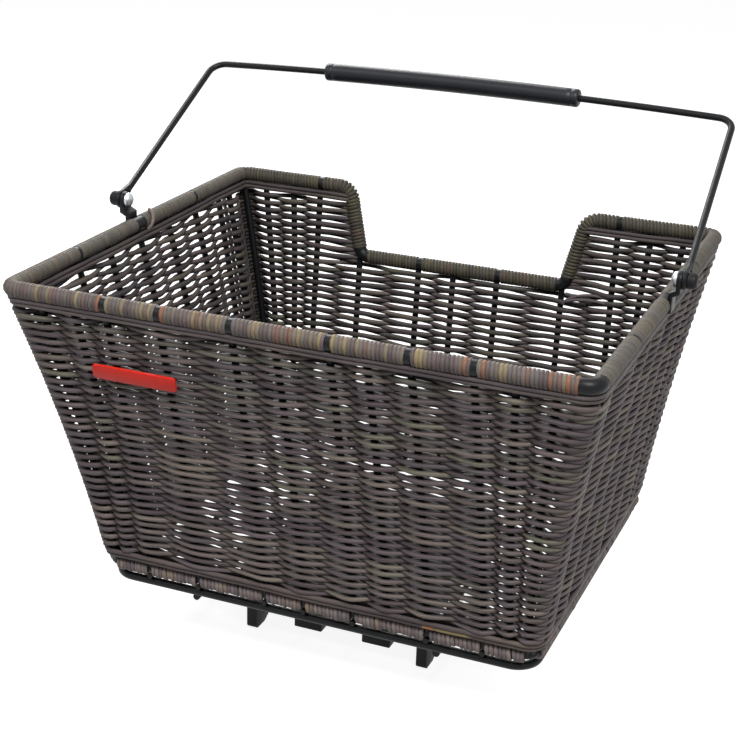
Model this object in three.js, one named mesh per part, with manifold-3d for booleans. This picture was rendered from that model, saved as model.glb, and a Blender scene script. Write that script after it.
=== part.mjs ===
// Bicycle carrier basket of woven cane on a welded wire frame, with a dip in its back wall for the saddle,
// a bail handle on two tabs, and a carrier adapter with hooks and a sprung latch under its floor.
// Millimetres. +X is the rider's right, +Y is forward towards the saddle, +Z is up.
// The origin is on the ground plane under the hooks, at the middle of the rim in plan.

import * as THREE from "three";
import { mergeVertices } from "three/addons/utils/BufferGeometryUtils.js";
import Module from "manifold-3d";

const wasm = await Module();
wasm.setup();

// Clearances
const GAP = 0.3;
const RUNNING_GAP = 0.4;

// Wire sizes
const RIM_ROD = 6;
const RING_ROD = 6;
const FRAME_ROD = 6;
const STAKE_WIRE = 5;
const FLOOR_WIRE = 4;
const BAIL_WIRE = 5;

// Basket outline on the centre-lines of the rods
const RIM_WIDTH = 400;
const RIM_DEPTH = 344.6;
const BASE_WIDTH = 319.8;
const BASE_DEPTH = 272;
const BASE_SHIFT = 17.8;
const CORNER_RADIUS = 8;
const WALL_HEIGHT = 217.4;

// The walls flare outwards: how far they bow in between base and rim, as a share of their whole lean
const FLARE = 0.27;
const WALL_BANDS = 3;

// Woven walls and wraps
const WEAVE_AT_STAKES = 11.4;
const WEAVE_BETWEEN = 4.4;
const WEAVE_CREST = 4;
const RIM_WRAP = 12;
const BASE_WRAP = 11;
const WRAP_GROOVE = 5;
const GROOVE_DEPTH = 1.6;
const BARE_CORNER = 2;

// Saddle dip in the back wall, on the centre-line of the rim rod
const DIP_TOP_WIDTH = 200;
const DIP_BOTTOM_WIDTH = 174;
const DIP_DEPTH = 55;
const DIP_TOP_RADIUS = 12;
const DIP_BOTTOM_RADIUS = 8;

// Stakes, by where they stand on the base ring: x in the front and back walls, y in the side walls.
// The side walls' stakes lean forward by the same amount from rim to base.
const LONG_PLANES = [-127, -88, -36, -6, 31, 85, 125];
const FRONT_EXTRA = 56;
const CROSS_PLANES = [-76, -34, 9, 52, 95];
const SIDE_LEAN = 12;
const RIM_GROOVES_X = [-126, -86, -35, 32, 84, 126];
const RIM_GROOVES_Y = [-88, 83];

// Fan stakes, by how far they stand in from the corner at the rim and at the base ring
const END_FANS = [{ top: 22, bottom: 5 }, { top: 48, bottom: 16.5 }];
const SIDE_FAN_FRONT = { top: 17, bottom: 15 };
const SIDE_FANS_BACK = [{ top: 47, bottom: 42 }, { top: 28, bottom: 26 }];

// Base frame and adapter heights
const HOOK_REACH = 42.5;
const FRAME_INSET = 1;
const FRAME_CORNER = 16;
const RUNNER_WIRE = 5;
const RUNNER_SPACING = 183;
const WELD = 0.5;

// Handle
const PIVOT_RISE = 17.8;
const PIVOT_Y = -2.4;
const ARM_LENGTH = 164.2;
const BAIL_TOP_WIDTH = 418;
const BAIL_BOW = 6.5;
const BAIL_BEND = 12;
const BOW_INSET = 36;
const HANDLE_LEAN = 61.6;
const GRIP_DIAMETER = 13.5;
const GRIP_LENGTH = 205;
const GRIP_SHIFT = -9.6;
const EYE_DIAMETER = 13.5;
const EYE_THICKNESS = 3;
const EYE_NECK = 12;
const NECK_ROOM = 1.5;
const TAB_WIDTH = 12;
const TAB_THICKNESS = 3;
const TAB_JOG = 4.7;
const TAB_FOOT = 5;
const BOLT_SHANK = 6;
const BOLT_HEAD = 10.5;
const BOLT_HEAD_HEIGHT = 4.2;
const BOLT_HEAD_EDGE = 1;
const NUT_DIAMETER = 11;
const NUT_LENGTH = 6.4;
const NUT_WALL = 1.6;
const NUT_CROWN = { start: 2.5, shoulder: 1, end: 3 };

// Carrier adapter
const PLATE_WIDTH = 152;
const PLATE_FRONT = -84;
const PLATE_BACK = 84;
const PLATE_THICKNESS = 6;
const PLATE_CORNER = 8;
const HOOK_SPACING = 134;
const HOOK_WIDTH = 8;
const HOOK_ROWS = [-77, 56];
const HOOK_THROAT = 11;
const HOOK_LENGTH = 24;
const HOOK_LIP = 8;
const HOOK_MOUTH = 13;
const HOOK_TOE = 14;
const HOOK_TIP_RISE = 5;
const HOOK_BEVEL = 2;
const SLIDE_WIDTH = 91;
const SLIDE_THICKNESS = 5;
const SLIDE_FRONT = -65;
const SLIDE_BACK = 6;
const RAIL_WALL = 5;
const RAIL_LIP = 4;
const RAIL_LIP_HEIGHT = 3;
const RAIL_BACK = 50;
const FRONT_STOP = 3;
const BLOCK_SPACING = 54;
const BLOCK_WIDTH = 22;
const BLOCK_DEPTH = 12;
const BLOCK_TIP = 2.5;
const SPRING_SPACING = 44;
const SPRING_DIAMETER = 5.6;
const SPRING_WIRE = 1;
const SPRING_CURLS = 6;
const SPRING_ROOM = 38;
const STOP_WALL = 5;
const PEG_DIAMETER = 2.6;
const PEG_LENGTH = 9;
const CLAMP_WIDTH = 16;
const CLAMP_LENGTH = 136;
const CLAMP_THICKNESS = 3;
const CLAMP_CORNER = 6;
const CLAMP_ROWS = [-57, 71.5];
const SCREW_SPACING = 120;
const SCREW_SHANK = 5;
const SCREW_HEAD = 9;
const SCREW_HEAD_HEIGHT = 3;
const SCREW_HEAD_BEVEL = { drop: 2, inset: 1.5 };
const SCREW_INSET = 1;
const SCREW_HOLE_GAP = 0.3;

// Badge
const BADGE_LENGTH = 62;
const BADGE_HEIGHT = 10.8;
const BADGE_THICKNESS = 2;
const BADGE_CORNER = 2.5;
const BADGE_X = -110;
const BADGE_DROP = 48.7;
const BADGE_STUD = 2.5;
const BADGE_STUD_REACH = 5;
const BADGE_STUD_SPACING = 20;

// Facets
const ROD_SIDES = 8;
const STAKE_SIDES = 6;
const WRAP_SIDES = 8;
const ROUND_SIDES = 16;
const CORNER_STEPS = 5;
const BEND_STEPS = 4;
const PLATE_STEPS = 3;
const SPRING_SIDES = 5;

// How far drills and bores reach past what they cut
const PAST = 1;

// Heights, from the hook tips up
const FRAME_Z = HOOK_REACH + FRAME_ROD / 2;
const LONG_WIRE_Z = FRAME_Z + FRAME_ROD / 2 + GAP + FLOOR_WIRE / 2;
const CROSS_WIRE_Z = LONG_WIRE_Z + FLOOR_WIRE + GAP;
const RING_Z = LONG_WIRE_Z + FLOOR_WIRE / 2 + GAP + RING_ROD / 2;
const RIM_Z = RING_Z + WALL_HEIGHT;
const PIVOT_Z = RIM_Z + PIVOT_RISE;

// Finishes
const steelBlack = new THREE.MeshStandardMaterial({ color: 0x17181a, metalness: 0.3, roughness: 0.45 });
const steelBright = new THREE.MeshStandardMaterial({ color: 0xb9bcc0, metalness: 0.95, roughness: 0.25 });
const caneDark = new THREE.MeshStandardMaterial({ color: 0x4a4140, metalness: 0, roughness: 0.6 });
const caneLight = new THREE.MeshStandardMaterial({ color: 0x857a66, metalness: 0, roughness: 0.6 });
const gripBlack = new THREE.MeshStandardMaterial({ color: 0x121214, metalness: 0, roughness: 0.55 });
const nylonBlack = new THREE.MeshStandardMaterial({ color: 0x1b1c1e, metalness: 0, roughness: 0.5 });
const enamelRed = new THREE.MeshStandardMaterial({ color: 0xc22a20, metalness: 0, roughness: 0.3 });

const at = (x, y, z) => new THREE.Vector3(x, y, z);
const mix = THREE.MathUtils.lerp;
const model = new THREE.Group();

// Adds one named sub-part to a group.
function add(name, geometry, material, group = model) {
  const mesh = new THREE.Mesh(geometry, material);
  mesh.name = name;
  group.add(mesh);
  return mesh;
}

// Turns a closed geometry into a solid that can be cut and joined.
function solidOf(geometry) {
  const bare = new THREE.BufferGeometry();
  bare.setAttribute("position", geometry.attributes.position.clone());
  if (geometry.index) bare.setIndex(geometry.index.clone());
  const merged = mergeVertices(bare, 1e-4);
  const corners = merged.index.array;
  const triangles = [];
  for (let i = 0; i < corners.length; i += 3) {
    const [a, b, c] = [corners[i], corners[i + 1], corners[i + 2]];
    if (a !== b && b !== c && c !== a) triangles.push(a, b, c);
  }
  return new wasm.Manifold(new wasm.Mesh({
    numProp: 3,
    vertProperties: new Float32Array(merged.attributes.position.array),
    triVerts: new Uint32Array(triangles),
  }));
}

// Turns a solid back into a geometry.
function geometryOf(solid) {
  const mesh = solid.getMesh();
  const geometry = new THREE.BufferGeometry();
  geometry.setAttribute("position", new THREE.BufferAttribute(new Float32Array(mesh.vertProperties), 3));
  geometry.setIndex(new THREE.BufferAttribute(new Uint32Array(mesh.triVerts), 1));
  return geometry;
}

const join = (solids) => solids.reduce((whole, solid) => whole.add(solid));
const cut = (solid, tools) => tools.reduce((rest, tool) => rest.subtract(tool), solid);

// Rounds the corners of a path: each corner is a point with its bend radius.
function roundedPath(corners, steps, closed) {
  const points = [];
  const count = corners.length;
  corners.forEach(({ point, radius }, i) => {
    const isEnd = !closed && (i === 0 || i === count - 1);
    if (isEnd || !radius) {
      points.push(point.clone());
      return;
    }
    const into = point.clone().sub(corners[(i - 1 + count) % count].point).normalize();
    const out = corners[(i + 1) % count].point.clone().sub(point).normalize();
    const turn = into.angleTo(out);
    const start = point.clone().addScaledVector(into, -radius * Math.tan(turn / 2));
    const inward = out.clone().addScaledVector(into, -out.dot(into)).normalize();
    const centre = start.clone().addScaledVector(inward, radius);
    for (let k = 0; k <= steps; k += 1) {
      const angle = (turn * k) / steps;
      points.push(centre.clone()
        .addScaledVector(inward, -radius * Math.cos(angle))
        .addScaledVector(into, radius * Math.sin(angle)));
    }
  });
  return points;
}

// Builds a closed geometry from rings of points, with flat ends or joined into a loop.
function skin(rings, closed) {
  const sides = rings[0].length;
  const positions = rings.flat().flatMap((p) => [p.x, p.y, p.z]);
  const index = [];
  const bands = closed ? rings.length : rings.length - 1;
  for (let i = 0; i < bands; i += 1) {
    const low = i * sides;
    const high = ((i + 1) % rings.length) * sides;
    for (let k = 0; k < sides; k += 1) {
      const next = (k + 1) % sides;
      index.push(low + k, low + next, high + next, low + k, high + next, high + k);
    }
  }
  if (!closed) {
    const last = (rings.length - 1) * sides;
    for (let k = 1; k < sides - 1; k += 1) {
      index.push(0, k + 1, k);
      index.push(last, last + k, last + k + 1);
    }
  }
  const geometry = new THREE.BufferGeometry();
  geometry.setAttribute("position", new THREE.Float32BufferAttribute(positions, 3));
  geometry.setIndex(index);
  return geometry;
}

// Sweeps a round section along a path, mitred at each point.
function rod(points, diameter, { closed = false, sides = ROD_SIDES } = {}) {
  const count = points.length;
  const runs = closed ? count : count - 1;
  const ahead = Array.from({ length: runs },
    (_, i) => points[(i + 1) % count].clone().sub(points[i]).normalize());
  const firstUp = Math.abs(ahead[0].z) < 0.9 ? at(0, 0, 1) : at(0, 1, 0);
  let across = firstUp.cross(ahead[0]).normalize();
  const rings = points.map((here, i) => {
    const out = ahead[Math.min(i, runs - 1)];
    const into = closed ? ahead[(i - 1 + count) % count] : ahead[Math.max(i - 1, 0)];
    if (i > 0) across.applyQuaternion(new THREE.Quaternion().setFromUnitVectors(into, out)).normalize();
    const up = out.clone().cross(across).normalize();
    const mitre = into.clone().add(out).normalize();
    return Array.from({ length: sides }, (_, k) => {
      const angle = (2 * Math.PI * (k + 0.5)) / sides;
      const offset = across.clone().multiplyScalar((Math.cos(angle) * diameter) / 2)
        .addScaledVector(up, (Math.sin(angle) * diameter) / 2);
      const slide = offset.dot(mitre) / out.dot(mitre);
      return here.clone().add(offset).addScaledVector(out, -slide);
    });
  });
  return skin(rings, closed);
}

const inPlan = (points) => points.map((p) => new THREE.Vector2(p.x, p.y));

// Lofts flat outlines, each with as many points, from the lowest to the highest.
function loft(outlines) {
  const count = outlines[0].length;
  const index = [];
  for (let level = 0; level < outlines.length - 1; level += 1) {
    const [low, high] = [level * count, (level + 1) * count];
    for (let k = 0; k < count; k += 1) {
      const next = (k + 1) % count;
      index.push(low + k, low + next, high + next, low + k, high + next, high + k);
    }
  }
  const cap = (points) => THREE.ShapeUtils.triangulateShape(inPlan(points), []);
  const last = (outlines.length - 1) * count;
  cap(outlines[0]).forEach(([a, b, c]) => index.push(a, c, b));
  cap(outlines.at(-1)).forEach(([a, b, c]) => index.push(last + a, last + b, last + c));
  const geometry = new THREE.BufferGeometry();
  const positions = outlines.flat().flatMap((p) => [p.x, p.y, p.z]);
  geometry.setAttribute("position", new THREE.Float32BufferAttribute(positions, 3));
  geometry.setIndex(index);
  return geometry;
}

const box = (x, y, z) => new THREE.BoxGeometry(x[1] - x[0], y[1] - y[0], z[1] - z[0])
  .translate((x[0] + x[1]) / 2, (y[0] + y[1]) / 2, (z[0] + z[1]) / 2);

// A round bar along X, Y or Z between two places.
function bar(axis, from, to, centre, diameter, sides = ROUND_SIDES) {
  const geometry = new THREE.CylinderGeometry(diameter / 2, diameter / 2, to - from, sides);
  if (axis === "x") geometry.rotateZ(-Math.PI / 2).translate((from + to) / 2, centre[0], centre[1]);
  if (axis === "y") geometry.translate(centre[0], (from + to) / 2, centre[1]);
  if (axis === "z") geometry.rotateX(Math.PI / 2).translate(centre[0], centre[1], (from + to) / 2);
  return geometry;
}

// The walls between base ring and rim, in flat bands that follow the flare.
const flared = (share) => share - FLARE * share * (1 - share);
const wallLevels = Array.from({ length: WALL_BANDS + 1 }, (_, i) => RING_Z + (WALL_HEIGHT * i) / WALL_BANDS);
const heightShare = (z) => (z - RING_Z) / WALL_HEIGHT;
function wallShare(z) {
  const place = heightShare(z) * WALL_BANDS;
  const band = THREE.MathUtils.clamp(Math.floor(place), 0, WALL_BANDS - 1);
  return mix(flared(band / WALL_BANDS), flared((band + 1) / WALL_BANDS), place - band);
}
const halfWidth = (z) => mix(BASE_WIDTH, RIM_WIDTH, wallShare(z)) / 2;
const frontY = (z) => mix(BASE_SHIFT - BASE_DEPTH / 2, -RIM_DEPTH / 2, wallShare(z));
const backY = (z) => mix(BASE_SHIFT + BASE_DEPTH / 2, RIM_DEPTH / 2, wallShare(z));
const onFront = (x, z) => at(x, frontY(z), z);
const onBack = (x, z) => at(x, backY(z), z);
const onSide = (side, y, z) => at(side * halfWidth(z), y, z);

// Where a stake stands along its wall at a height.
const inset = (fan, z) => mix(fan.bottom, fan.top, heightShare(z));
const endFan = (fan) => (z) => halfWidth(z) - inset(fan, z);
const sideFanFront = (z) => frontY(z) + inset(SIDE_FAN_FRONT, z);
const sideFanBack = (fan) => (z) => backY(z) - inset(fan, z);
const sideStake = (y) => (z) => y - SIDE_LEAN * heightShare(z);

// Rim rod: a closed loop that dips in the back wall.
const DIP_Z = RIM_Z - DIP_DEPTH;
const rimCorners = [
  { point: onFront(-RIM_WIDTH / 2, RIM_Z), radius: CORNER_RADIUS },
  { point: onFront(RIM_WIDTH / 2, RIM_Z), radius: CORNER_RADIUS },
  { point: onBack(RIM_WIDTH / 2, RIM_Z), radius: CORNER_RADIUS },
  { point: onBack(DIP_TOP_WIDTH / 2, RIM_Z), radius: DIP_TOP_RADIUS },
  { point: onBack(DIP_BOTTOM_WIDTH / 2, DIP_Z), radius: DIP_BOTTOM_RADIUS },
  { point: onBack(-DIP_BOTTOM_WIDTH / 2, DIP_Z), radius: DIP_BOTTOM_RADIUS },
  { point: onBack(-DIP_TOP_WIDTH / 2, RIM_Z), radius: DIP_TOP_RADIUS },
  { point: onBack(-RIM_WIDTH / 2, RIM_Z), radius: CORNER_RADIUS },
];
const rimPath = roundedPath(rimCorners, CORNER_STEPS, true);
add("rim_rod", rod(rimPath, RIM_ROD, { closed: true }), steelBlack);

// Base ring, stakes and corner posts, welded into one cage.
const ringCorners = [
  { point: onFront(-BASE_WIDTH / 2, RING_Z), radius: CORNER_RADIUS },
  { point: onFront(BASE_WIDTH / 2, RING_Z), radius: CORNER_RADIUS },
  { point: onBack(BASE_WIDTH / 2, RING_Z), radius: CORNER_RADIUS },
  { point: onBack(-BASE_WIDTH / 2, RING_Z), radius: CORNER_RADIUS },
];
const SIDES = [-1, 1];
const cornerIn = CORNER_RADIUS * (1 - Math.SQRT1_2);
const post = (sideX, sideY) => (z) => at(sideX * (halfWidth(z) - cornerIn),
  sideY < 0 ? frontY(z) + cornerIn : backY(z) - cornerIn, z);

// A stake's points, one at each level of the walls up to its top.
const run = (place, top = RIM_Z) => [...wallLevels.filter((z) => z < top), top].map(place);
const stakeRuns = [
  ...[...LONG_PLANES, FRONT_EXTRA].map((x) => run((z) => onFront(x, z))),
  ...LONG_PLANES.map((x) => run((z) => onBack(x, z), Math.abs(x) < DIP_TOP_WIDTH / 2 ? DIP_Z : RIM_Z)),
  ...SIDES.flatMap((side) => [
    ...END_FANS.flatMap((fan) => [
      run((z) => onFront(side * endFan(fan)(z), z)),
      run((z) => onBack(side * endFan(fan)(z), z)),
    ]),
    ...[sideFanFront, ...SIDE_FANS_BACK.map(sideFanBack), ...CROSS_PLANES.map(sideStake)]
      .map((y) => run((z) => onSide(side, y(z), z))),
    run(post(side, -1)),
    run(post(side, 1)),
  ]),
];

// The stakes, widened by a clearance for the channels that they run in. The rim rod's room cuts their tops.
const stakes = (clearance) => stakeRuns.map(
  (points) => solidOf(rod(points, STAKE_WIRE + 2 * clearance, { sides: STAKE_SIDES })));
const ringPath = roundedPath(ringCorners, CORNER_STEPS, true);
const rimRoom = solidOf(rod(rimPath, RIM_ROD + 2 * GAP, { closed: true }));
const cage = join([solidOf(rod(ringPath, RING_ROD, { closed: true })), ...stakes(0)]);
add("stake_cage", geometryOf(cut(cage, [rimRoom])), steelBlack);
const stakeRoom = join(stakes(GAP));

// Floor wires: lengthwise ones under the ring, crosswise ones on top of them between its sides.
const longWire = (x, clearance) => bar("y", frontY(RING_Z) - RING_ROD / 2, backY(RING_Z) + RING_ROD / 2,
  [x, LONG_WIRE_Z], FLOOR_WIRE + 2 * clearance, ROD_SIDES);
const crossReach = BASE_WIDTH / 2 - RING_ROD / 2 - GAP;
const crossWire = (y, clearance) => bar("x", -crossReach, crossReach,
  [y, CROSS_WIRE_Z], FLOOR_WIRE + 2 * clearance, ROD_SIDES);
LONG_PLANES.forEach((x, i) => add(`floor_wire_long_${i + 1}`, longWire(x, 0), steelBlack));
CROSS_PLANES.forEach((y, i) => add(`floor_wire_cross_${i + 1}`, crossWire(y, 0), steelBlack));
const wireRoom = join([
  ...LONG_PLANES.map((x) => solidOf(longWire(x, GAP))),
  ...CROSS_PLANES.map((y) => solidOf(crossWire(y, GAP))),
]);

// Base frame: a bare rod loop under the floor wires, with two runners welded under it from front to back.
const frameCorner = (side, y) => ({
  point: at(side * (BASE_WIDTH / 2 - FRAME_INSET), y, FRAME_Z),
  radius: FRAME_CORNER,
});
const [FRAME_FRONT, FRAME_BACK] = [frontY(RING_Z) + FRAME_INSET, backY(RING_Z) - FRAME_INSET];
const framePath = roundedPath([
  frameCorner(-1, FRAME_FRONT),
  frameCorner(1, FRAME_FRONT),
  frameCorner(1, FRAME_BACK),
  frameCorner(-1, FRAME_BACK),
], CORNER_STEPS, true);
const RUNNER_Z = FRAME_Z - FRAME_ROD / 2 - RUNNER_WIRE / 2 + WELD;
const runners = SIDES.map((side) => solidOf(bar("y", FRAME_FRONT, FRAME_BACK,
  [(side * RUNNER_SPACING) / 2, RUNNER_Z], RUNNER_WIRE, ROD_SIDES)));
const frameLoop = solidOf(rod(framePath, FRAME_ROD, { closed: true }));
add("base_frame", geometryOf(join([frameLoop, ...runners])), steelBlack);

// A cane wrap round a rod from one point to another, with a groove at each stake plane.
function wrap(from, to, diameter, rodDiameter, grooves) {
  const along = to.clone().sub(from);
  const length = along.length();
  const outer = diameter / 2;
  const inner = rodDiameter / 2 + GAP;
  const profile = [new THREE.Vector2(inner, 0), new THREE.Vector2(outer, 0)];
  grooves.filter((d) => d > WRAP_GROOVE && d < length - WRAP_GROOVE).forEach((d) => {
    const [start, end] = [d - WRAP_GROOVE / 2, d + WRAP_GROOVE / 2];
    profile.push(
      new THREE.Vector2(outer, start),
      new THREE.Vector2(outer - GROOVE_DEPTH, start),
      new THREE.Vector2(outer - GROOVE_DEPTH, end),
      new THREE.Vector2(outer, end),
    );
  });
  profile.push(
    new THREE.Vector2(outer, length),
    new THREE.Vector2(inner, length),
    new THREE.Vector2(inner, 0),
  );
  const geometry = new THREE.LatheGeometry(profile, WRAP_SIDES);
  const turn = new THREE.Quaternion().setFromUnitVectors(at(0, 1, 0), along.normalize());
  geometry.applyQuaternion(turn).translate(from.x, from.y, from.z);
  return geometryOf(cut(solidOf(geometry), [stakeRoom, wireRoom]));
}

// Rim wraps. The rim's corners stay bare.
const wrapEndX = RIM_WIDTH / 2 - CORNER_RADIUS - BARE_CORNER;
const wrapEndY = RIM_DEPTH / 2 - CORNER_RADIUS - BARE_CORNER;
add("rim_wrap_front", wrap(onFront(-wrapEndX, RIM_Z), onFront(wrapEndX, RIM_Z), RIM_WRAP, RIM_ROD,
  RIM_GROOVES_X.map((x) => x + wrapEndX)), caneLight);
const tabRoom = TAB_WIDTH / 2 + GAP;
SIDES.forEach((side) => {
  const name = side < 0 ? "left" : "right";
  const [frontEnd, backStart] = [PIVOT_Y - tabRoom, PIVOT_Y + tabRoom];
  add(`rim_wrap_${name}_front`, wrap(onSide(side, -wrapEndY, RIM_Z), onSide(side, frontEnd, RIM_Z),
    RIM_WRAP, RIM_ROD, RIM_GROOVES_Y.map((y) => y + wrapEndY)), caneLight);
  add(`rim_wrap_${name}_back`, wrap(onSide(side, backStart, RIM_Z), onSide(side, wrapEndY, RIM_Z),
    RIM_WRAP, RIM_ROD, RIM_GROOVES_Y.map((y) => y - backStart)), caneLight);
});

// Wraps of the dip: its bends stay bare, so each wrap ends where its bend starts.
const dipTurn = Math.atan2(DIP_DEPTH, (DIP_TOP_WIDTH - DIP_BOTTOM_WIDTH) / 2);
const topTrim = DIP_TOP_RADIUS * Math.tan(dipTurn / 2) + GAP;
const bottomTrim = DIP_BOTTOM_RADIUS * Math.tan(dipTurn / 2) + GAP;
SIDES.forEach((side) => {
  const name = side < 0 ? "left" : "right";
  const top = onBack((side * DIP_TOP_WIDTH) / 2, RIM_Z);
  const bottom = onBack((side * DIP_BOTTOM_WIDTH) / 2, DIP_Z);
  const down = bottom.clone().sub(top).normalize();
  add(`rim_wrap_ear_${name}`, wrap(onBack(side * (DIP_TOP_WIDTH / 2 + topTrim), RIM_Z),
    onBack(side * wrapEndX, RIM_Z), RIM_WRAP, RIM_ROD,
    RIM_GROOVES_X.map((x) => side * x - DIP_TOP_WIDTH / 2 - topTrim)), caneLight);
  add(`rim_wrap_dip_${name}`, wrap(top.clone().addScaledVector(down, topTrim),
    bottom.clone().addScaledVector(down, -bottomTrim), RIM_WRAP, RIM_ROD, []), caneLight);
});
const dipBarReach = DIP_BOTTOM_WIDTH / 2 - bottomTrim;
add("rim_wrap_dip_bar", wrap(onBack(-dipBarReach, DIP_Z), onBack(dipBarReach, DIP_Z), RIM_WRAP, RIM_ROD,
  RIM_GROOVES_X.map((x) => x + dipBarReach)), caneLight);

// Base wraps
const baseEndX = BASE_WIDTH / 2 - CORNER_RADIUS - BARE_CORNER;
const [baseFront, baseBack] = [frontY(RING_Z) + CORNER_RADIUS + BARE_CORNER,
  backY(RING_Z) - CORNER_RADIUS - BARE_CORNER];
add("base_wrap_front", wrap(onFront(-baseEndX, RING_Z), onFront(baseEndX, RING_Z), BASE_WRAP, RING_ROD, []),
  caneLight);
add("base_wrap_back", wrap(onBack(-baseEndX, RING_Z), onBack(baseEndX, RING_Z), BASE_WRAP, RING_ROD, []),
  caneLight);
SIDES.forEach((side) => add(`base_wrap_${side < 0 ? "left" : "right"}`, wrap(onSide(side, baseFront, RING_Z),
  onSide(side, baseBack, RING_Z), BASE_WRAP, RING_ROD, []), caneLight));

// Woven walls: panels between the corners, with channels for the stakes. They are thick at the stakes, where
// the strands pass in front and behind, and thin halfway between two stakes, where the strands cross over.
const WEAVE_LOW = RING_Z + BASE_WRAP / 2 + GAP;
const WEAVE_HIGH = RIM_Z - RIM_WRAP / 2 - GAP;
const DIP_LOW = DIP_Z - RIM_WRAP / 2 - GAP;
const thick = WEAVE_AT_STAKES / 2;
const thin = WEAVE_BETWEEN / 2;
const panelEnd = CORNER_RADIUS + GAP / 2;

// Says whether a plan outline runs clockwise, seen from above.
const clockwise = (points) => THREE.ShapeUtils.area(inPlan(points)) < 0;

// Lofts a panel between two heights, with the stakes' channels in it.
function panel(outline, low, high, tools = []) {
  const outlines = [low, ...wallLevels.filter((z) => z > low && z < high), high].map(outline);
  if (clockwise(outlines[0])) outlines.forEach((points) => points.reverse());
  return geometryOf(cut(solidOf(loft(outlines)), [stakeRoom, ...tools]));
}

// Plan outline of a wall from its knots: its two ends, and the stakes between them. The end bays stay thick.
const pleats = (knots, place) => (z) => {
  const line = knots.map((knot) => knot(z));
  const stakesHere = line.slice(1, -1);
  const profile = [[line[0], thick]];
  stakesHere.forEach((here, i) => {
    if (i > 0) profile.push([(stakesHere[i - 1] + here) / 2, thin]);
    profile.push([here - WEAVE_CREST / 2, thick], [here + WEAVE_CREST / 2, thick]);
  });
  profile.push([line.at(-1), thick]);
  return [
    ...profile.map(([along, depth]) => place(along, -depth, z)),
    ...profile.reverse().map(([along, depth]) => place(along, depth, z)),
  ];
};
const panelReach = (z) => halfWidth(z) - panelEnd;
const innerFan = endFan(END_FANS.at(-1));
const fixed = (x) => () => x;
const mirrored = (knot) => (z) => -knot(z);
const dipEdge = (z) => mix(DIP_BOTTOM_WIDTH, DIP_TOP_WIDTH, (z - DIP_Z) / DIP_DEPTH) / 2 + RIM_WRAP / 2 + GAP;
const acrossFront = (x, out, z) => at(x, frontY(z) + out, z);
const acrossBack = (x, out, z) => at(x, backY(z) + out, z);
const acrossSide = (side) => (y, out, z) => at(side * (halfWidth(z) + out), y, z);
const wallKnots = (stakesHere) => [
  mirrored(panelReach), mirrored(innerFan), ...stakesHere.map(fixed), innerFan, panelReach,
];
const frontStakes = [...LONG_PLANES, FRONT_EXTRA].sort((a, b) => a - b);
const sideKnots = [
  (z) => frontY(z) + panelEnd, sideFanFront, ...CROSS_PLANES.map(sideStake),
  ...SIDE_FANS_BACK.map(sideFanBack), (z) => backY(z) - panelEnd,
];
const sideOutline = (side) => pleats(sideKnots, acrossSide(side));
const leftEarKnots = [mirrored(panelReach), mirrored(innerFan), fixed(LONG_PLANES[0]), mirrored(dipEdge)];
const rightEarKnots = [dipEdge, fixed(LONG_PLANES.at(-1)), innerFan, panelReach];

// The badge is set on the front wall, square to it.
const wallUp = onFront(0, RIM_Z).sub(onFront(0, wallLevels.at(-2))).normalize();
const wallOut = wallUp.clone().cross(at(1, 0, 0)).negate();
const badgeFrame = new THREE.Matrix4().makeBasis(at(1, 0, 0), wallUp, wallOut);
const faceSlide = thick * Math.abs(wallOut.y);
const badgeZ = RIM_Z - BADGE_DROP;
const badgeSeat = at(BADGE_X, frontY(badgeZ), badgeZ).addScaledVector(wallOut, faceSlide + GAP);
badgeFrame.setPosition(badgeSeat);
function roundedRectangle(length, height, radius) {
  const [x, y] = [length / 2, height / 2];
  const shape = new THREE.Shape();
  shape.moveTo(-x + radius, -y);
  shape.lineTo(x - radius, -y);
  shape.absarc(x - radius, -y + radius, radius, -Math.PI / 2, 0, false);
  shape.lineTo(x, y - radius);
  shape.absarc(x - radius, y - radius, radius, 0, Math.PI / 2, false);
  shape.lineTo(-x + radius, y);
  shape.absarc(-x + radius, y - radius, radius, Math.PI / 2, Math.PI, false);
  shape.lineTo(-x, -y + radius);
  shape.absarc(-x + radius, -y + radius, radius, Math.PI, 1.5 * Math.PI, false);
  return shape;
}
function badgeStuds(clearance) {
  return SIDES.map((side) => solidOf(
    bar("z", -BADGE_STUD_REACH - clearance, BADGE_THICKNESS / 2, [(side * BADGE_STUD_SPACING) / 2, 0],
      BADGE_STUD + 2 * clearance, ROD_SIDES).applyMatrix4(badgeFrame)));
}
const badgePlate = new THREE.ExtrudeGeometry(roundedRectangle(BADGE_LENGTH, BADGE_HEIGHT, BADGE_CORNER),
  { depth: BADGE_THICKNESS, bevelEnabled: false, curveSegments: PLATE_STEPS }).applyMatrix4(badgeFrame);
add("badge_plate", geometryOf(join([solidOf(badgePlate), ...badgeStuds(0)])), enamelRed);

add("weave_front", panel(pleats(wallKnots(frontStakes), acrossFront), WEAVE_LOW, WEAVE_HIGH, badgeStuds(GAP)),
  caneDark);
add("weave_left", panel(sideOutline(-1), WEAVE_LOW, WEAVE_HIGH), caneDark);
add("weave_right", panel(sideOutline(1), WEAVE_LOW, WEAVE_HIGH), caneDark);
add("weave_back", panel(pleats(wallKnots(LONG_PLANES), acrossBack), WEAVE_LOW, DIP_LOW), caneDark);
add("weave_ear_left", panel(pleats(leftEarKnots, acrossBack), DIP_LOW + GAP, WEAVE_HIGH), caneDark);
add("weave_ear_right", panel(pleats(rightEarKnots, acrossBack), DIP_LOW + GAP, WEAVE_HIGH), caneDark);

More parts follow.
